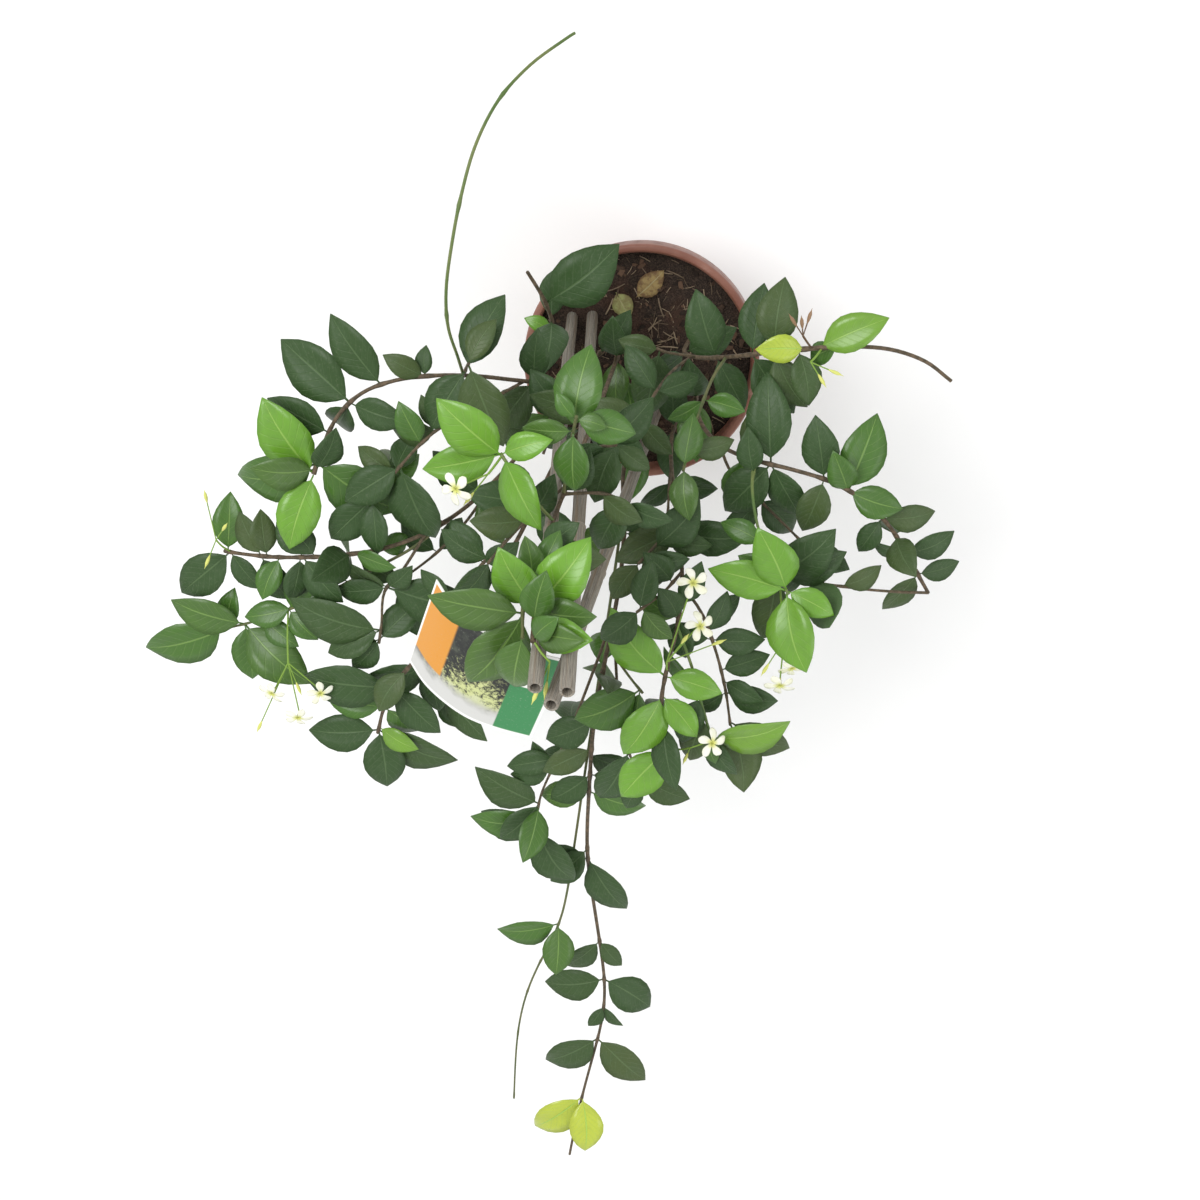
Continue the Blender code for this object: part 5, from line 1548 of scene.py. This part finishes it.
def twig(item, name):
    """A round twig along one stem's line, with a swelling at each joint."""
    smooth = smooth_route(item["line"], TWIG_STEP)
    roots = [leaf["root"] for leaf in LEAVES if leaf["stem"] == item["stem"]]
    roots += [spot for _, index, _, spot, _ in SHOOT_JOINTS if LINES[index] is item]
    if item["radius"] == WHIP_RADIUS:
        roots += smooth[::round(WHIP_JOINTS / TWIG_STEP)]
    radii = []
    for number, point in enumerate(smooth):
        share = number / (len(smooth) - 1)
        near = min([(root - point).length for root in roots] + [1.0])
        swell = 1.0 + SWELLING * math.exp(-((near / SWELLING_LENGTH) ** 2))
        radii.append(item["radius"] * (1 - (1 - item["thin"]) * share) * swell * TWIG_SLIM)
    return rod(name, smooth, 1.0, radii, 2)


def twig_finish():
    finish = Finish("twig", Specular_IOR_Level=0.35)
    here = finish.place("Object")
    green = finish.value("green")
    streaks = finish.noise(here, 260.0, 4.0, 0.65)
    patches = finish.noise(here, 45.0, 2.0, 0.5)
    bark = finish.mix(finish.fade(streaks, 0.35, 0.70), (0.050, 0.030, 0.022), (0.150, 0.095, 0.065))
    fresh = finish.mix(finish.fade(patches, 0.35, 0.70), (0.085, 0.170, 0.035), (0.170, 0.220, 0.065))
    gloss = 0.70 - green * 0.22 + (streaks - 0.5) * 0.2
    return finish.done(finish.mix(green, bark, fresh), gloss, streaks, 0.5, 0.0006)


twig_look = twig_finish()
print("twig finish made")

# %% [markdown]
# Each leafy stem becomes two pieces: its twigs, and its leaves. How green a twig is depends on the age of
# the leaves that it bears, and main stems are nearly all bark.

# %% Twigs and leaves, stem by stem
GREEN_SHARE = {"old": 0.10, "mid": 0.45, "young": 0.85, "lime": 0.7}
MAIN_GREEN = 0.08
WHIP_GREEN = 0.75
shoot_green = {}
for _, line_index, tone, _, _ in SHOOT_JOINTS:
    shoot_green[line_index] = max(shoot_green.get(line_index, 0.0), GREEN_SHARE[tone])
for index, item in enumerate(LINES):
    if item["parent"] is None:
        shoot_green[index] = MAIN_GREEN
    if item["radius"] == WHIP_RADIUS:
        shoot_green[index] = WHIP_GREEN
for stem in STEMS:
    twigs = []
    for index, item in enumerate(LINES):
        if item["stem"] != stem:
            continue
        piece = twig(item, "twig_%d" % index)
        tag(piece, green=shoot_green.get(index, GREEN_SHARE["old"]))
        twigs.append(piece)
    finished(joined(stem + "_twigs", twigs), twig_look, [stem])
    leaves = [lay_leaf(leaf, "leaf") for leaf in LEAVES if leaf["stem"] == stem]
    finished(joined(stem + "_leaves", leaves), leaf_look, [stem])

# %% [markdown]
# A star jasmine flower is a white pinwheel: five petals on a narrow tube, each broad at its end with one
# corner swept round, so that all turn the same way. One petal is shaped from a grid, and five copies are
# turned about the tube. A bud is the same tube with the petals still wrapped into a spindle.

# %% One flower and one bud, to be copied
# Rows: how far along the petal, how wide there, and how far swept round
PETAL_ROWS = (
    (0.05, 0.060, 0.0), (0.22, 0.125, 0.010), (0.40, 0.200, 0.040), (0.58, 0.270, 0.090),
    (0.76, 0.285, 0.150), (0.91, 0.210, 0.205), (1.0, 0.070, 0.235),
)
PETALS = 5
# What the number on each vertex says
THROAT_PART = 1.0
BUD_PART = 0.6
STALK_PART = 2.0

petal = added("petal", bpy.ops.mesh.primitive_grid_add, x_subdivisions=len(PETAL_ROWS) - 1,
              y_subdivisions=3, size=1.0, location=(0.5, 0.0, 0.0))
petal_rows = sorted({round(vertex.co.x, 4) for vertex in petal.data.vertices})
for vertex in petal.data.vertices:
    row = min(range(len(petal_rows)), key=lambda number: abs(petal_rows[number] - vertex.co.x))
    along, wide, sweep = PETAL_ROWS[row]
    side = vertex.co.y * 2.0
    rise = 0.05 * math.sin(math.pi * along) + 0.05 * side * side - 0.10 * along * along
    vertex.co = Vector((along, side * wide + sweep * 0.75, rise)) * 0.5
thickened(petal, 0.018)
tag(petal, part=[0.75 * max(0.0, 1.0 - vertex.co.length / 0.30) for vertex in petal.data.vertices])
petals = [own_copy(petal, "petal") for _ in range(PETALS)]
for number, piece in enumerate(petals):
    turn = Matrix.Rotation(2 * math.pi * number / PETALS, 4, "Z")
    piece.data.transform(turn @ Matrix.Rotation(0.10, 4, "X"))
throat = added("throat", bpy.ops.mesh.primitive_cone_add, vertices=8, radius1=0.028, radius2=0.052,
               depth=0.26, location=(0.0, 0.0, -0.125))
pick(throat, "FACE", lambda place: place.z > -0.01)
bpy.ops.mesh.inset(thickness=0.022, depth=-0.02)
done_editing()
tag(throat, part=THROAT_PART)
flower_model = joined("flower_model", petals + [throat])
bpy.data.objects.remove(petal, do_unlink=True)

bud_model = added("bud_model", bpy.ops.mesh.primitive_uv_sphere_add, segments=8, ring_count=7, radius=1.0)
for vertex in bud_model.data.vertices:
    share = (vertex.co.z + 1.0) / 2.0
    thick = 1.6 * (1.05 - share)
    if share < 0.75:
        thick = 0.42 + 0.58 * math.sin(math.pi * min(1.0, share * 1.05))
    twist = share * 1.6
    x, y = vertex.co.x * thick, vertex.co.y * thick
    vertex.co.x = x * math.cos(twist) - y * math.sin(twist)
    vertex.co.y = x * math.sin(twist) + y * math.cos(twist)
tag(bud_model, part=BUD_PART)
print("flower:", len(flower_model.data.polygons), "faces; bud:", len(bud_model.data.polygons), "faces")

# %% [markdown]
# The petals are warm white, with cream at the throat; the tube is yellow-green. The number on each vertex
# says which part it is. Dried flower heads use the same shapes in brown.

# %% Flower finish


def flower_finish(name, petal_colour, throat_colour, stalk_colour):
    finish = Finish(name, Specular_IOR_Level=0.3)
    here = finish.place("Object")
    part = finish.value("part")
    fine = finish.noise(here, 500.0, 3.0, 0.6)
    broad = finish.noise(here, 130.0, 2.0, 0.5)
    petal_shade = finish.mix(finish.fade(broad, 0.35, 0.75) * 0.25, petal_colour, throat_colour)
    tube = finish.mix(finish.fade(part, 0.1, 0.6), petal_shade, throat_colour)
    colour = finish.mix(finish.fade(part, 1.2, 1.8), tube, stalk_colour)
    return finish.done(colour, 0.50 + (fine - 0.5) * 0.3, fine + broad, 0.35, 0.0006)


WHITE = ((0.850, 0.850, 0.740), (0.600, 0.620, 0.160), (0.200, 0.330, 0.050))
BROWN = ((0.170, 0.090, 0.050), (0.260, 0.160, 0.090), (0.120, 0.070, 0.040))
white_look = flower_finish("jasmine_white", *WHITE)
dry_look = flower_finish("dried_brown", *BROWN)
print("flower finishes made")

# %% [markdown]
# Each bunch is put together on the places that were found for its plain shapes: a stalk to the fork, an arm
# to each head, and a copy of the flower or of the bud at its end.

# %% Flowers on their stalks
BUD_SIZE = (0.0015, 0.0015, 0.0068)
STALK_RADIUS = 0.00085
FLOWER_ARM_RADIUS = 0.0006
BUD_ARM_RADIUS = 0.0005


def turned_to(facing):
    """The turn that takes +Z to a direction."""
    return Vector((0.0, 0.0, 1.0)).rotation_difference(facing.normalized()).to_matrix().to_4x4()


def copy_at(model, place, facing, size):
    """A copy of a model, scaled, spun by chance and turned to its direction."""
    thing = own_copy(model, "head")
    spin = Matrix.Rotation(flutter.uniform(0.0, 6.28), 4, "Z")
    thing.data.transform(Matrix.Translation(place) @ turned_to(facing) @ spin @ Matrix.Diagonal((*size, 1.0)))
    return thing


def stalk(start, middle, end, thick):
    """A thin stalk through three places."""
    line = smooth_route([start, middle, end], 0.003)
    thing = rod("stalk", line, thick, [1.0] * len(line), 1)
    tag(thing, part=STALK_PART)
    return thing


for name, (foot, knot, heads) in BUNCH_SHAPES.items():
    things = [stalk(foot, foot.lerp(knot, 0.5) + SAG, knot, STALK_RADIUS)]
    for centre, span in heads:
        way = (centre - knot).normalized()
        if span:
            facing = (way + HEAD_UP).normalized()
            base = centre - facing * THROAT_LENGTH
            things.append(stalk(knot, knot.lerp(base, 0.5), base, FLOWER_ARM_RADIUS))
            things.append(copy_at(flower_model, centre, facing, (span, span, span)))
        else:
            things.append(stalk(knot, knot.lerp(centre, 0.5), centre - way * 0.004, BUD_ARM_RADIUS))
            things.append(copy_at(bud_model, centre + way * 0.0015, way, BUD_SIZE))
    look, slot = (dry_look, "dried_flower") if name.startswith("dry") else (white_look, "flower")
    finished(joined(name + "_bloom", things), look, [name])
for model in (flower_model, bud_model):
    bpy.data.objects.remove(model, do_unlink=True)

# %% [markdown]
# The pot is moulded plastic: a tapering wall, a thicker band round the top and a rolled lip. Its outline is
# drawn once, from the middle of the foot up the outside and down the inside, and spun round the pot's axis,
# as a mould is turned. The drain holes are cut afterwards.

# %% Pot


def spun(name, outline, low, high, steps):
    """A solid turned from (radius, height) pairs about the line from low to high."""
    mesh = bpy.data.meshes.new(name)
    edges = [(number, number + 1) for number in range(len(outline) - 1)]
    mesh.from_pydata([(radius, 0.0, height) for radius, height in outline], edges, [])
    thing = new_thing(name, mesh)
    only(thing)
    bpy.ops.object.mode_set(mode="EDIT")
    bpy.ops.mesh.select_all(action="SELECT")
    bpy.ops.mesh.spin(steps=steps, angle=2 * math.pi, center=(0.0, 0.0, 0.0), axis=(0.0, 0.0, 1.0))
    bpy.ops.mesh.select_all(action="SELECT")
    bpy.ops.mesh.remove_doubles(threshold=0.00002)
    bpy.ops.mesh.normals_make_consistent(inside=False)
    done_editing()
    thing.data.transform(Matrix.Translation(low) @ turned_to(high - low))
    return thing


pot_piece = spun("pot_shell", POT_PROFILE, Vector((0.0, 0.0, 0.0)), Vector((0.0, 0.0, 1.0)), 96)
bevel = pot_piece.modifiers.new("soft_edges", "BEVEL")
bevel.width = 0.0006
bevel.segments = 2
bevel.limit_method = "ANGLE"
bevel.angle_limit = math.radians(28)
apply_all(pot_piece)
for number in range(DRAINS):
    turn = 2 * math.pi * (number + 0.5) / DRAINS
    middle = (DRAIN_RING * math.cos(turn), DRAIN_RING * math.sin(turn), 0.0)
    only(pot_piece)
    bpy.ops.mesh.primitive_cylinder_add(vertices=24, radius=DRAIN_HOLE, depth=0.03, location=middle)
    drain = bpy.context.object
    step = pot_piece.modifiers.new("drain", "BOOLEAN")
    step.object = drain
    step.operation = "DIFFERENCE"
    apply_all(pot_piece)
    bpy.data.objects.remove(drain, do_unlink=True)
print("pot turned, with", DRAINS, "drain holes")

# %% [markdown]
# The pot's plastic is the colour of fired clay. It is scuffed along its height to a paler tone, and soil
# has splashed its foot and its band.

# %% Pot finish


def pot_finish():
    finish = Finish("terracotta_plastic", Specular_IOR_Level=0.45)
    here = finish.place("Object")
    height = finish.parts(here)[2]
    grain = finish.noise(here, 900.0, 2.0, 0.6)
    cloud = finish.noise(here, 26.0, 4.0, 0.6)
    scuffs = finish.noise(finish.stretched(here, (30.0, 30.0, 220.0)), 1.0, 5.0, 0.7)
    dirt = finish.noise(here, 120.0, 4.0, 0.7)
    clay = finish.mix(finish.fade(cloud, 0.35, 0.70), (0.190, 0.072, 0.048), (0.260, 0.115, 0.080))
    worn = finish.mix(finish.fade(scuffs, 0.58, 0.74) * 0.55, clay, (0.400, 0.250, 0.205))
    low = 1.0 - finish.fade(height, 0.004, 0.050)
    band = finish.fade(height, 0.150, 0.162) * (1.0 - finish.fade(height, 0.172, 0.181))
    splash = finish.fade(dirt, 0.45, 0.65) * (low * 0.8 + band * 0.35)
    gloss = 0.46 + splash * 0.35 + (cloud - 0.5) * 0.2
    soiled = finish.mix(splash, worn, (0.060, 0.040, 0.030))
    return finish.done(soiled, gloss, grain * 0.3 + scuffs * 0.5, 0.25, 0.0005)


finished(pot_piece, pot_finish(), ["pot"], 35)

# %% [markdown]
# Potting compost is crumbs of peat, bits of bark and short fibres. Its surface is a fine grid, trimmed to
# the pot and raised by noise, and bark chips and fibres are strewn on it. Each is one small shape copied
# with a turn and a size of its own.

# %% Soil
SOIL_PIECE_RADIUS = wall_slope * SOIL_HEIGHT + FOOT_RADIUS - WALL - 0.0006

# How many crumbs to the metre, and how high they stand
CRUMBS = ((420.0, 0.0011), (160.0, 0.0014), (40.0, 0.0016))

soil_piece = added("soil_surface", bpy.ops.mesh.primitive_grid_add, x_subdivisions=150, y_subdivisions=150,
                   size=2.08 * SOIL_PIECE_RADIUS, location=(0.0, 0.0, SOIL_HEIGHT - 0.001))
pick(soil_piece, "FACE", lambda place: place.xy.length > SOIL_PIECE_RADIUS * 0.985)
bpy.ops.mesh.delete(type="FACE")
done_editing()
for vertex in soil_piece.data.vertices:
    far = vertex.co.xy.length
    if far > SOIL_PIECE_RADIUS * 0.965:
        vertex.co.xy *= SOIL_PIECE_RADIUS / far
    crumb = sum(noise.noise(vertex.co * often) * rise for often, rise in CRUMBS)
    vertex.co.z += crumb - 0.0015 * max(0.0, far / SOIL_PIECE_RADIUS - 0.8)
pick(soil_piece, "VERT", lambda place: False)
bpy.ops.mesh.select_non_manifold(extend=False, use_wire=False, use_multi_face=False,
                                 use_non_contiguous=False, use_verts=False)
bpy.ops.mesh.extrude_edges_move(TRANSFORM_OT_translate={"value": (0.0, 0.0, -0.012)})
bpy.ops.transform.resize(value=(0.96, 0.96, 0.0), center_override=(0.0, 0.0, SOIL_HEIGHT - 0.016))
bpy.ops.mesh.edge_face_add()
bpy.ops.mesh.select_all(action="SELECT")
bpy.ops.mesh.normals_make_consistent(inside=False)
done_editing()


def soil_finish():
    finish = Finish("compost", Specular_IOR_Level=0.25)
    here = finish.place("Object")
    crumbs = finish.cells(here, 380.0)
    grain = finish.noise(here, 836.0, 4.0, 0.75)
    damp = finish.noise(here, 22.0, 3.0, 0.5)
    base = finish.mix(finish.fade(grain, 0.40, 0.68), (0.018, 0.012, 0.009), (0.085, 0.058, 0.043))
    red = finish.mix(finish.fade(damp, 0.45, 0.70) * 0.5, base, (0.085, 0.040, 0.026))
    return finish.done(red, 0.86 + (grain - 0.5) * 0.2, crumbs + grain, 0.8, 0.0016)


finished(soil_piece, soil_finish(), ["soil"])

# %% [markdown]
# A bark chip is a cube flattened and roughened, and a fibre is a thin bent rod. Each copy gets a turn and a
# size by chance, is dropped on the soil by a ray from above, and keeps off the canes and stems.

# %% Bark chips and fibres
ground = BVHTree.FromObject(soil_piece, bpy.context.evaluated_depsgraph_get())
strew = random.Random(SEED + 9)
keep_off = [(Vector(foot), 0.0065) for foot, _, _ in CANES.values()]
keep_off += [(Vector(data["foot"]), 0.0035) for data in STEMS.values()]


def strewn(name, model, count, sizes, tilt):
    """Copies of a model lying on the soil."""
    things = []
    while len(things) < count:
        turn = strew.uniform(0.0, 6.283)
        far = (SOIL_PIECE_RADIUS - 0.006) * math.sqrt(strew.random())
        spot = Vector((far * math.cos(turn), far * math.sin(turn), 0.3))
        if any((spot.xy - middle).length < reach + sizes[1] * 0.6 for middle, reach in keep_off):
            continue
        hit = ground.ray_cast(spot, Vector((0.0, 0.0, -1.0)))[0]
        size = strew.uniform(*sizes)
        thing = own_copy(model, name)
        lie = Matrix.Rotation(strew.uniform(-tilt, tilt), 4, "X")
        lie = lie @ Matrix.Rotation(strew.uniform(-tilt, tilt), 4, "Y")
        lie = Matrix.Rotation(strew.uniform(0.0, 6.283), 4, "Z") @ lie
        rest = Matrix.Translation(hit + Vector((0.0, 0.0, 0.0003)))
        thing.data.transform(rest @ lie @ Matrix.Scale(size, 4))
        tag(thing, luck=strew.random())
        things.append(thing)
    bpy.data.objects.remove(model, do_unlink=True)
    return joined(name, things)


chip = added("chip", bpy.ops.mesh.primitive_cube_add, size=1.0)
bpy.ops.object.mode_set(mode="EDIT")
bpy.ops.mesh.select_all(action="SELECT")
bpy.ops.mesh.subdivide(number_cuts=1)
bpy.ops.transform.resize(value=(1.0, 0.55, 0.20))
done_editing()
for vertex in chip.data.vertices:
    shake = [noise.noise(vertex.co * 3.1 + Vector((start, 0.0, 0.0))) for start in (1.0, 5.0, 9.0)]
    vertex.co += Vector(shake) * 0.22
chips = strewn("bark_chips", chip, 230, (0.003, 0.0085), 0.5)

fibre = added("fibre", bpy.ops.mesh.primitive_cylinder_add, vertices=5, radius=0.035, depth=1.0,
              rotation=(0.0, math.pi / 2, 0.0))
bpy.ops.object.mode_set(mode="EDIT")
bpy.ops.mesh.select_all(action="SELECT")
bpy.ops.mesh.subdivide(number_cuts=2)
done_editing()
for vertex in fibre.data.vertices:
    vertex.co.y += 0.16 * (vertex.co.x ** 2)
    vertex.co.z += 0.05 * math.cos(vertex.co.x * 4.0)
fibres = strewn("soil_fibres", fibre, 240, (0.006, 0.020), 0.14)


def litter_finish(name, dark, light):
    finish = Finish(name, Specular_IOR_Level=0.25)
    here = finish.place("Object")
    luck = finish.value("luck")
    grain = finish.noise(here, 700.0, 3.0, 0.7)
    colour = finish.mix(finish.fade(luck + (grain - 0.5) * 0.5, 0.1, 0.95), dark, light)
    return finish.done(colour, 0.82 + (grain - 0.5) * 0.2, grain, 0.6, 0.0008)


bark_look = litter_finish("bark", (0.022, 0.014, 0.010), (0.120, 0.070, 0.045))
fibre_look = litter_finish("fibre", (0.070, 0.045, 0.030), (0.330, 0.250, 0.170))
finished(chips, bark_look, ["soil"], 40)
finished(fibres, fibre_look, ["soil"])

# %% [markdown]
# A garden cane is bamboo: hollow, ringed at its nodes, and grey once it has stood outside. It is turned
# from an outline that rises at each ring and goes down into the bore at the open end. Long streaks run with
# the grain, so the finish needs to know how far along and how far round each point is; both are written on
# the mesh, because three leaning canes have no common axis.

# %% Canes
CANE_ROWS = 30
# A ring's outline: how far each row stands out from the cane, and how far up it is from the ring's middle
CANE_RING = ((-0.0002, -0.004), (0.0007, -0.0012), (-0.0003, 0.0), (0.0006, 0.0014), (0.0, 0.004))
# The open end: radius, and how far below the cane's top
CANE_MOUTH = (
    (CANE_RADIUS, 0.0008), (CANE_RADIUS - 0.0006, 0.0), (CANE_BORE, 0.0002), (CANE_BORE * 0.92, 0.004),
    (CANE_BORE * 0.86, CANE_BORE_DEPTH), (0.0, CANE_BORE_DEPTH + 0.002),
)


def cane_piece(name):
    """One cane, turned from its outline, with its own length and turn written on it."""
    high, low = CANE_ENDS[name]
    length = (high - low).length
    outline = [(0.0, 0.0), (CANE_RADIUS, 0.0)]
    for number in range(1, CANE_ROWS):
        height = length * number / CANE_ROWS
        outline.append((CANE_RADIUS * (1.0 - 0.03 * math.sin(number * 1.7)), height))
    for share in CANE_RINGS:
        middle = length * share
        outline = [entry for entry in outline if abs(entry[1] - middle) > 0.006]
        outline += [(CANE_RADIUS + out, middle + up) for out, up in CANE_RING]
    outline.sort(key=lambda entry: entry[1])
    outline += [(radius, length - down) for radius, down in CANE_MOUTH]
    thing = spun(name + "_culm", outline, low, high, 28)
    way = (high - low).normalized()
    side = way.orthogonal().normalized()
    other = way.cross(side)
    spots = [vertex.co - low for vertex in thing.data.vertices]
    around = [math.atan2(spot.dot(other), spot.dot(side)) for spot in spots]
    tag(thing, along=[spot.dot(way) for spot in spots], turn_x=[math.cos(turn) for turn in around],
        turn_y=[math.sin(turn) for turn in around])
    return thing


def cane_finish():
    finish = Finish("weathered_bamboo", Specular_IOR_Level=0.3)
    round_x = finish.value("turn_x") * 3.0
    round_y = finish.value("turn_y") * 3.0
    along = finish.value("along") * 9.0
    where = finish.node("CombineXYZ", None, {"X": round_x, "Y": round_y, "Z": along})
    streaks = finish.noise(where, 4.0, 6.0, 0.75)
    stains = finish.noise(where, 1.0, 3.0, 0.6)
    cracks = finish.noise(finish.stretched(where, (6.0, 6.0, 0.6)), 2.6, 4.0, 0.7)
    grey = finish.mix(finish.fade(streaks, 0.34, 0.68), (0.120, 0.105, 0.090), (0.400, 0.370, 0.310))
    brown = finish.mix(finish.fade(stains, 0.45, 0.72) * 0.6, grey, (0.230, 0.150, 0.085))
    split = finish.mix(finish.fade(cracks, 0.64, 0.70) * 0.8, brown, (0.045, 0.032, 0.025))
    return finish.done(split, 0.72 + (streaks - 0.5) * 0.3, streaks - cracks * 0.4, 0.5, 0.0009)


cane_look = cane_finish()
for name in CANES:
    finished(cane_piece(name), cane_look, [name], 40)

# %% [markdown]
# The card is thin printed plastic with a white edge, bent by the leaves and faded by the weather. It is a
# grid laid on the same bent line as its solid, and thickened.

# %% Printed card
CARD_THICK = 0.0007

card_piece = added("printed_card", bpy.ops.mesh.primitive_grid_add, x_subdivisions=36, y_subdivisions=18,
                   size=1.0, location=(0.5, 0.5, 0.0))
card_line = smooth_route([seen(place) for place in LABEL_EDGE], 0.004)
for vertex in card_piece.data.vertices:
    share = min(0.9999, max(0.0, vertex.co.x)) * (len(card_line) - 1)
    number = int(share)
    edge_point = card_line[number].lerp(card_line[number + 1], share - number)
    vertex.co = edge_point + LABEL_RISE * vertex.co.y
thickened(card_piece, CARD_THICK)
print("card:", len(card_piece.data.polygons), "faces")

# %% [markdown]
# The finish prints the card on its own map, u along it and v up it: a dark field with a pale dappled patch,
# an orange corner, a green end with a white stripe, and a white border. The print has no words.

# %% Card finish


def card_finish():
    finish = Finish("printed_card", Specular_IOR_Level=0.5, Coat_Roughness=0.2)
    sheet = finish.place("UV")
    u, v, _ = finish.parts(sheet)
    flecks = finish.noise(finish.stretched(sheet, (1.0, 0.8, 1.0)), 26.0, 5.0, 0.8)
    cloud = finish.noise(sheet, 5.0, 3.0, 0.6)
    bleach = finish.noise(sheet, 60.0, 2.0, 0.6)
    leafy = finish.fade(cloud + flecks * 0.5, 0.75, 1.0)
    field = finish.mix(leafy, (0.012, 0.014, 0.012), (0.060, 0.070, 0.050))
    patch = finish.fade(flecks + (0.30 - abs(u - 0.55)) * 0.5 + (0.34 - v) * 0.5, 0.50, 0.66)
    patch = patch * finish.fade(v, 0.12, 0.26)
    printed = finish.mix(patch, field, (0.520, 0.560, 0.250))
    foot_share = 1.0 - finish.fade(v + (cloud - 0.5) * 0.25, 0.12, 0.30)
    foot = finish.mix(foot_share, printed, (0.560, 0.560, 0.540))
    corner = (1.0 - finish.fade(u, 0.27, 0.29)) * finish.fade(v, 0.22, 0.24)
    sun = finish.mix(corner, foot, (0.640, 0.270, 0.030))
    band = finish.fade(u, 0.735, 0.745)
    green = finish.mix(band, sun, (0.035, 0.210, 0.070))
    stripe = band * (1.0 - finish.fade(abs(v - 0.62), 0.035, 0.045))
    stripe = stripe * finish.fade(u, 0.78, 0.79) * (1.0 - finish.fade(u, 0.93, 0.94))
    marked = finish.mix(stripe, green, (0.820, 0.830, 0.800))
    inside = finish.fade(u, 0.012, 0.020) * (1.0 - finish.fade(u, 0.980, 0.988))
    inside = inside * finish.fade(v, 0.020, 0.034) * (1.0 - finish.fade(v, 0.966, 0.980))
    bordered = finish.mix(inside, (0.830, 0.830, 0.800), marked)
    weathered = finish.mix(finish.fade(bleach, 0.60, 0.75) * 0.25, bordered, (0.420, 0.420, 0.380))
    return finish.done(weathered, 0.33 + (bleach - 0.5) * 0.25, cloud, 0.2, 0.0008)


finished(card_piece, card_finish(), ["picture_label"], 40)

# %% [markdown]
# Fallen leaves lie on the soil. They are laid like the others, curled more, and turn yellow, brown or pale
# as they dry. Each sinks until it rests on the solid that it replaces.

# %% Fallen leaves
FALLEN_COLOURS = {
    "fallen_leaf_brown": ((0.330, 0.235, 0.090), (0.160, 0.090, 0.040)),
    "fallen_leaf_olive": ((0.330, 0.350, 0.130), (0.230, 0.200, 0.080)),
    "fallen_leaf_pale": ((0.380, 0.450, 0.200), (0.300, 0.330, 0.140)),
    "fallen_leaf_small": ((0.400, 0.430, 0.180), (0.280, 0.250, 0.100)),
}


def dry_finish(name, fresh, aged):
    finish = Finish(name, Specular_IOR_Level=0.35)
    u, v, _ = finish.parts(finish.place("UV"))
    here = finish.place("Object")
    edge = abs(v - 0.5) * 2.0
    blotch = finish.noise(here, 160.0, 4.0, 0.65)
    spots = finish.noise(here, 600.0, 2.0, 0.6)
    midrib = 1.0 - finish.fade(edge, 0.03, 0.09)
    veins = finish.fade(((u * SIDE_VEINS - edge * VEIN_SLANT) * FULL_TURN).sine(), 0.86, 1.0)
    body = finish.mix(finish.fade(blotch + edge * 0.18, 0.45, 0.72), fresh, aged)
    dotted = finish.mix(finish.fade(spots, 0.66, 0.72) * 0.6, body, (0.070, 0.040, 0.020))
    colour = finish.mix(midrib * 0.5 + veins * 0.12, dotted, (0.480, 0.420, 0.230))
    relief = blotch - midrib * 0.6 - veins * 0.3
    return finish.done(colour, 0.66 + (blotch - 0.5) * 0.3, relief, 0.7, 0.0012)


for name, (base, tip, width) in FALLEN.items():
    leaf = {"root": seen((*base, SOIL_HEIGHT)), "tip": seen((*tip, SOIL_HEIGHT)),
            "up": Vector((0.0, 0.0, 1.0)), "width": width * 1.12, "bow": 0.04, "fold": -0.10, "tone": "dry"}
    thing = lay_leaf(leaf, name + "_blade", 0.05)
    lowest = min(vertex.co.z for vertex in thing.data.vertices)
    thing.data.transform(Matrix.Translation((0.0, 0.0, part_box(name)[0][2] + 0.0003 - lowest)))
    finished(thing, dry_finish(name + "_look", *FALLEN_COLOURS[name]), [name])
bpy.data.objects.remove(leaf_model, do_unlink=True)

# %% [markdown]
# The object stands on a plain pale floor in soft, high light, as on a bright overcast day.

# %% Floor and light
only(frame["nodes"]["pot"])
bpy.ops.mesh.primitive_plane_add(size=30.0, location=(0.0, 0.0, -0.0002))
floor = bpy.context.object
floor.name = "floor"
floor_look = Finish("pale_floor", Roughness=0.9)
floor_grain = floor_look.noise(floor_look.place("Object"), 6.0, 3.0, 0.5)
floor_look.give(Base_Color=floor_look.mix(floor_grain, (0.90, 0.90, 0.90), (0.94, 0.94, 0.935)))
floor.data.materials.append(floor_look.material)


AIM = Vector((0.0, -0.2, 0.3))


def lamp(name, place, size, power):
    """A round soft light that looks at the plant."""
    light = bpy.data.lights.new(name, "AREA")
    light.shape = "DISK"
    light.size = size
    light.energy = power
    thing = new_thing(name, light)
    thing.location = place
    thing.rotation_euler = (AIM - Vector(place)).to_track_quat("-Z", "Y").to_euler()
    return thing


lamps = [lamp("sky_key", (-1.0, 0.9, 2.6), 1.6, 42.0), lamp("sky_fill", (1.8, -1.2, 2.2), 2.0, 16.0)]
world = bpy.data.worlds.new("overcast")
bpy.context.scene.world = world
world.use_nodes = True
sky = world.node_tree.nodes["Background"].inputs
sky["Color"].default_value = (1.0, 1.0, 1.0, 1.0)
sky["Strength"].default_value = 0.85
bpy.context.scene.view_settings.view_transform = "Standard"
bpy.context.scene.view_settings.exposure = 0.0
print(len(lamps), "lamps and a pale sky")

# %% [markdown]
# The camera's three directions were measured from the photograph. They are the columns of its turn.

# %% Camera
camera_data = bpy.data.cameras.new("camera")
camera_data.lens = 45.0
camera_data.sensor_width = 36.0
camera_data.clip_end = 60.0
camera = new_thing("camera", camera_data)
turn = Matrix((ACROSS, UPWARD, BACKWARD)).transposed()
camera.matrix_world = Matrix.Translation(EYE) @ turn.to_4x4()
bpy.context.scene.camera = camera
print("camera stands at", [round(value, 2) for value in EYE])
